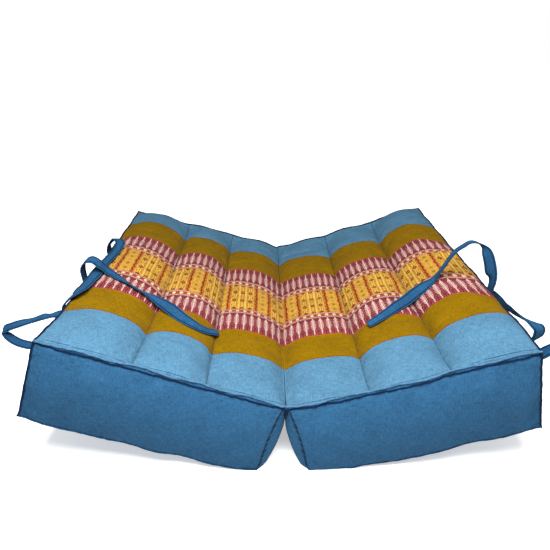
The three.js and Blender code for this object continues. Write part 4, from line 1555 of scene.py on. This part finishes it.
# White paper: matt, with painted light: it glows weakly near the cushion and more strongly away from it
paper = bpy.data.materials.new("white_paper")
paper.use_nodes = True
paper_tree = paper.node_tree
paper_surface = paper_tree.nodes["Principled BSDF"]
paper_surface.inputs["Base Color"].default_value = PAPER_WHITE
paper_surface.inputs["Roughness"].default_value = 0.9
paper_surface.inputs["Emission Color"].default_value = LAMP_WHITE
paper_place = add(paper_tree, "ShaderNodeTexCoord").outputs["Object"]
paper_distance = add(paper_tree, "ShaderNodeVectorMath", {"operation": "LENGTH"}, {0: paper_place})
paper_glow = add(paper_tree, "ShaderNodeMapRange", {"interpolation_type": "SMOOTHSTEP"},
                 {0: paper_distance.outputs["Value"], 1: NEAR_DISTANCE, 2: FAR_DISTANCE,
                  3: GLOW_NEAR, 4: GLOW_FAR})
paper_tree.links.new(paper_glow.outputs[0], paper_surface.inputs["Emission Strength"])
floor_mesh.materials.append(paper)
print("floor glows from", GLOW_NEAR, "under the cushion to", GLOW_FAR, "far from it")

# %% Light
ROOM_LIGHT = 0.42
SEEN_LIGHT = 1.0
world = bpy.data.worlds.new("studio")
world.use_nodes = True
world_tree = world.node_tree
background = world_tree.nodes["Background"]
background.inputs["Color"].default_value = LAMP_WHITE
path = add(world_tree, "ShaderNodeLightPath")
strength = add(world_tree, "ShaderNodeMapRange", None,
               {0: path.outputs["Is Camera Ray"], 1: 0.0, 2: 1.0, 3: ROOM_LIGHT, 4: SEEN_LIGHT})
world_tree.links.new(strength.outputs[0], background.inputs["Strength"])
scene.world = world
scene.view_settings.view_transform = "Standard"

LAMP_PLACE = Vector((-0.03, -0.45, 0.78))
LAMP_TARGET = Vector((0, -0.2, 0.1))
lamp_data = bpy.data.lights.new("front_lamp", "AREA")
lamp_data.size = 0.5
lamp_data.energy = 22
lamp = bpy.data.objects.new("front_lamp", lamp_data)
lamp.location = LAMP_PLACE
lamp.rotation_euler = (LAMP_TARGET - LAMP_PLACE).to_track_quat("-Z", "Y").to_euler()
scene.collection.objects.link(lamp)
print("room light", ROOM_LIGHT, "and a lamp of", lamp_data.energy, "W")

# %% [markdown]
# ## Bodies
# Each piece rides on the root body, and the solid that a case or a tie replaces is hidden.

for block, (piece, _, _) in cases.items():
    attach(piece, "root")
    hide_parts(f"block_{block}")
for piece in [*seams, *stitching]:
    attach(piece, "root")
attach(tie_stitches, "root")
for name, (piece, length, _) in straps.items():
    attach(piece, "root")
    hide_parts(name)
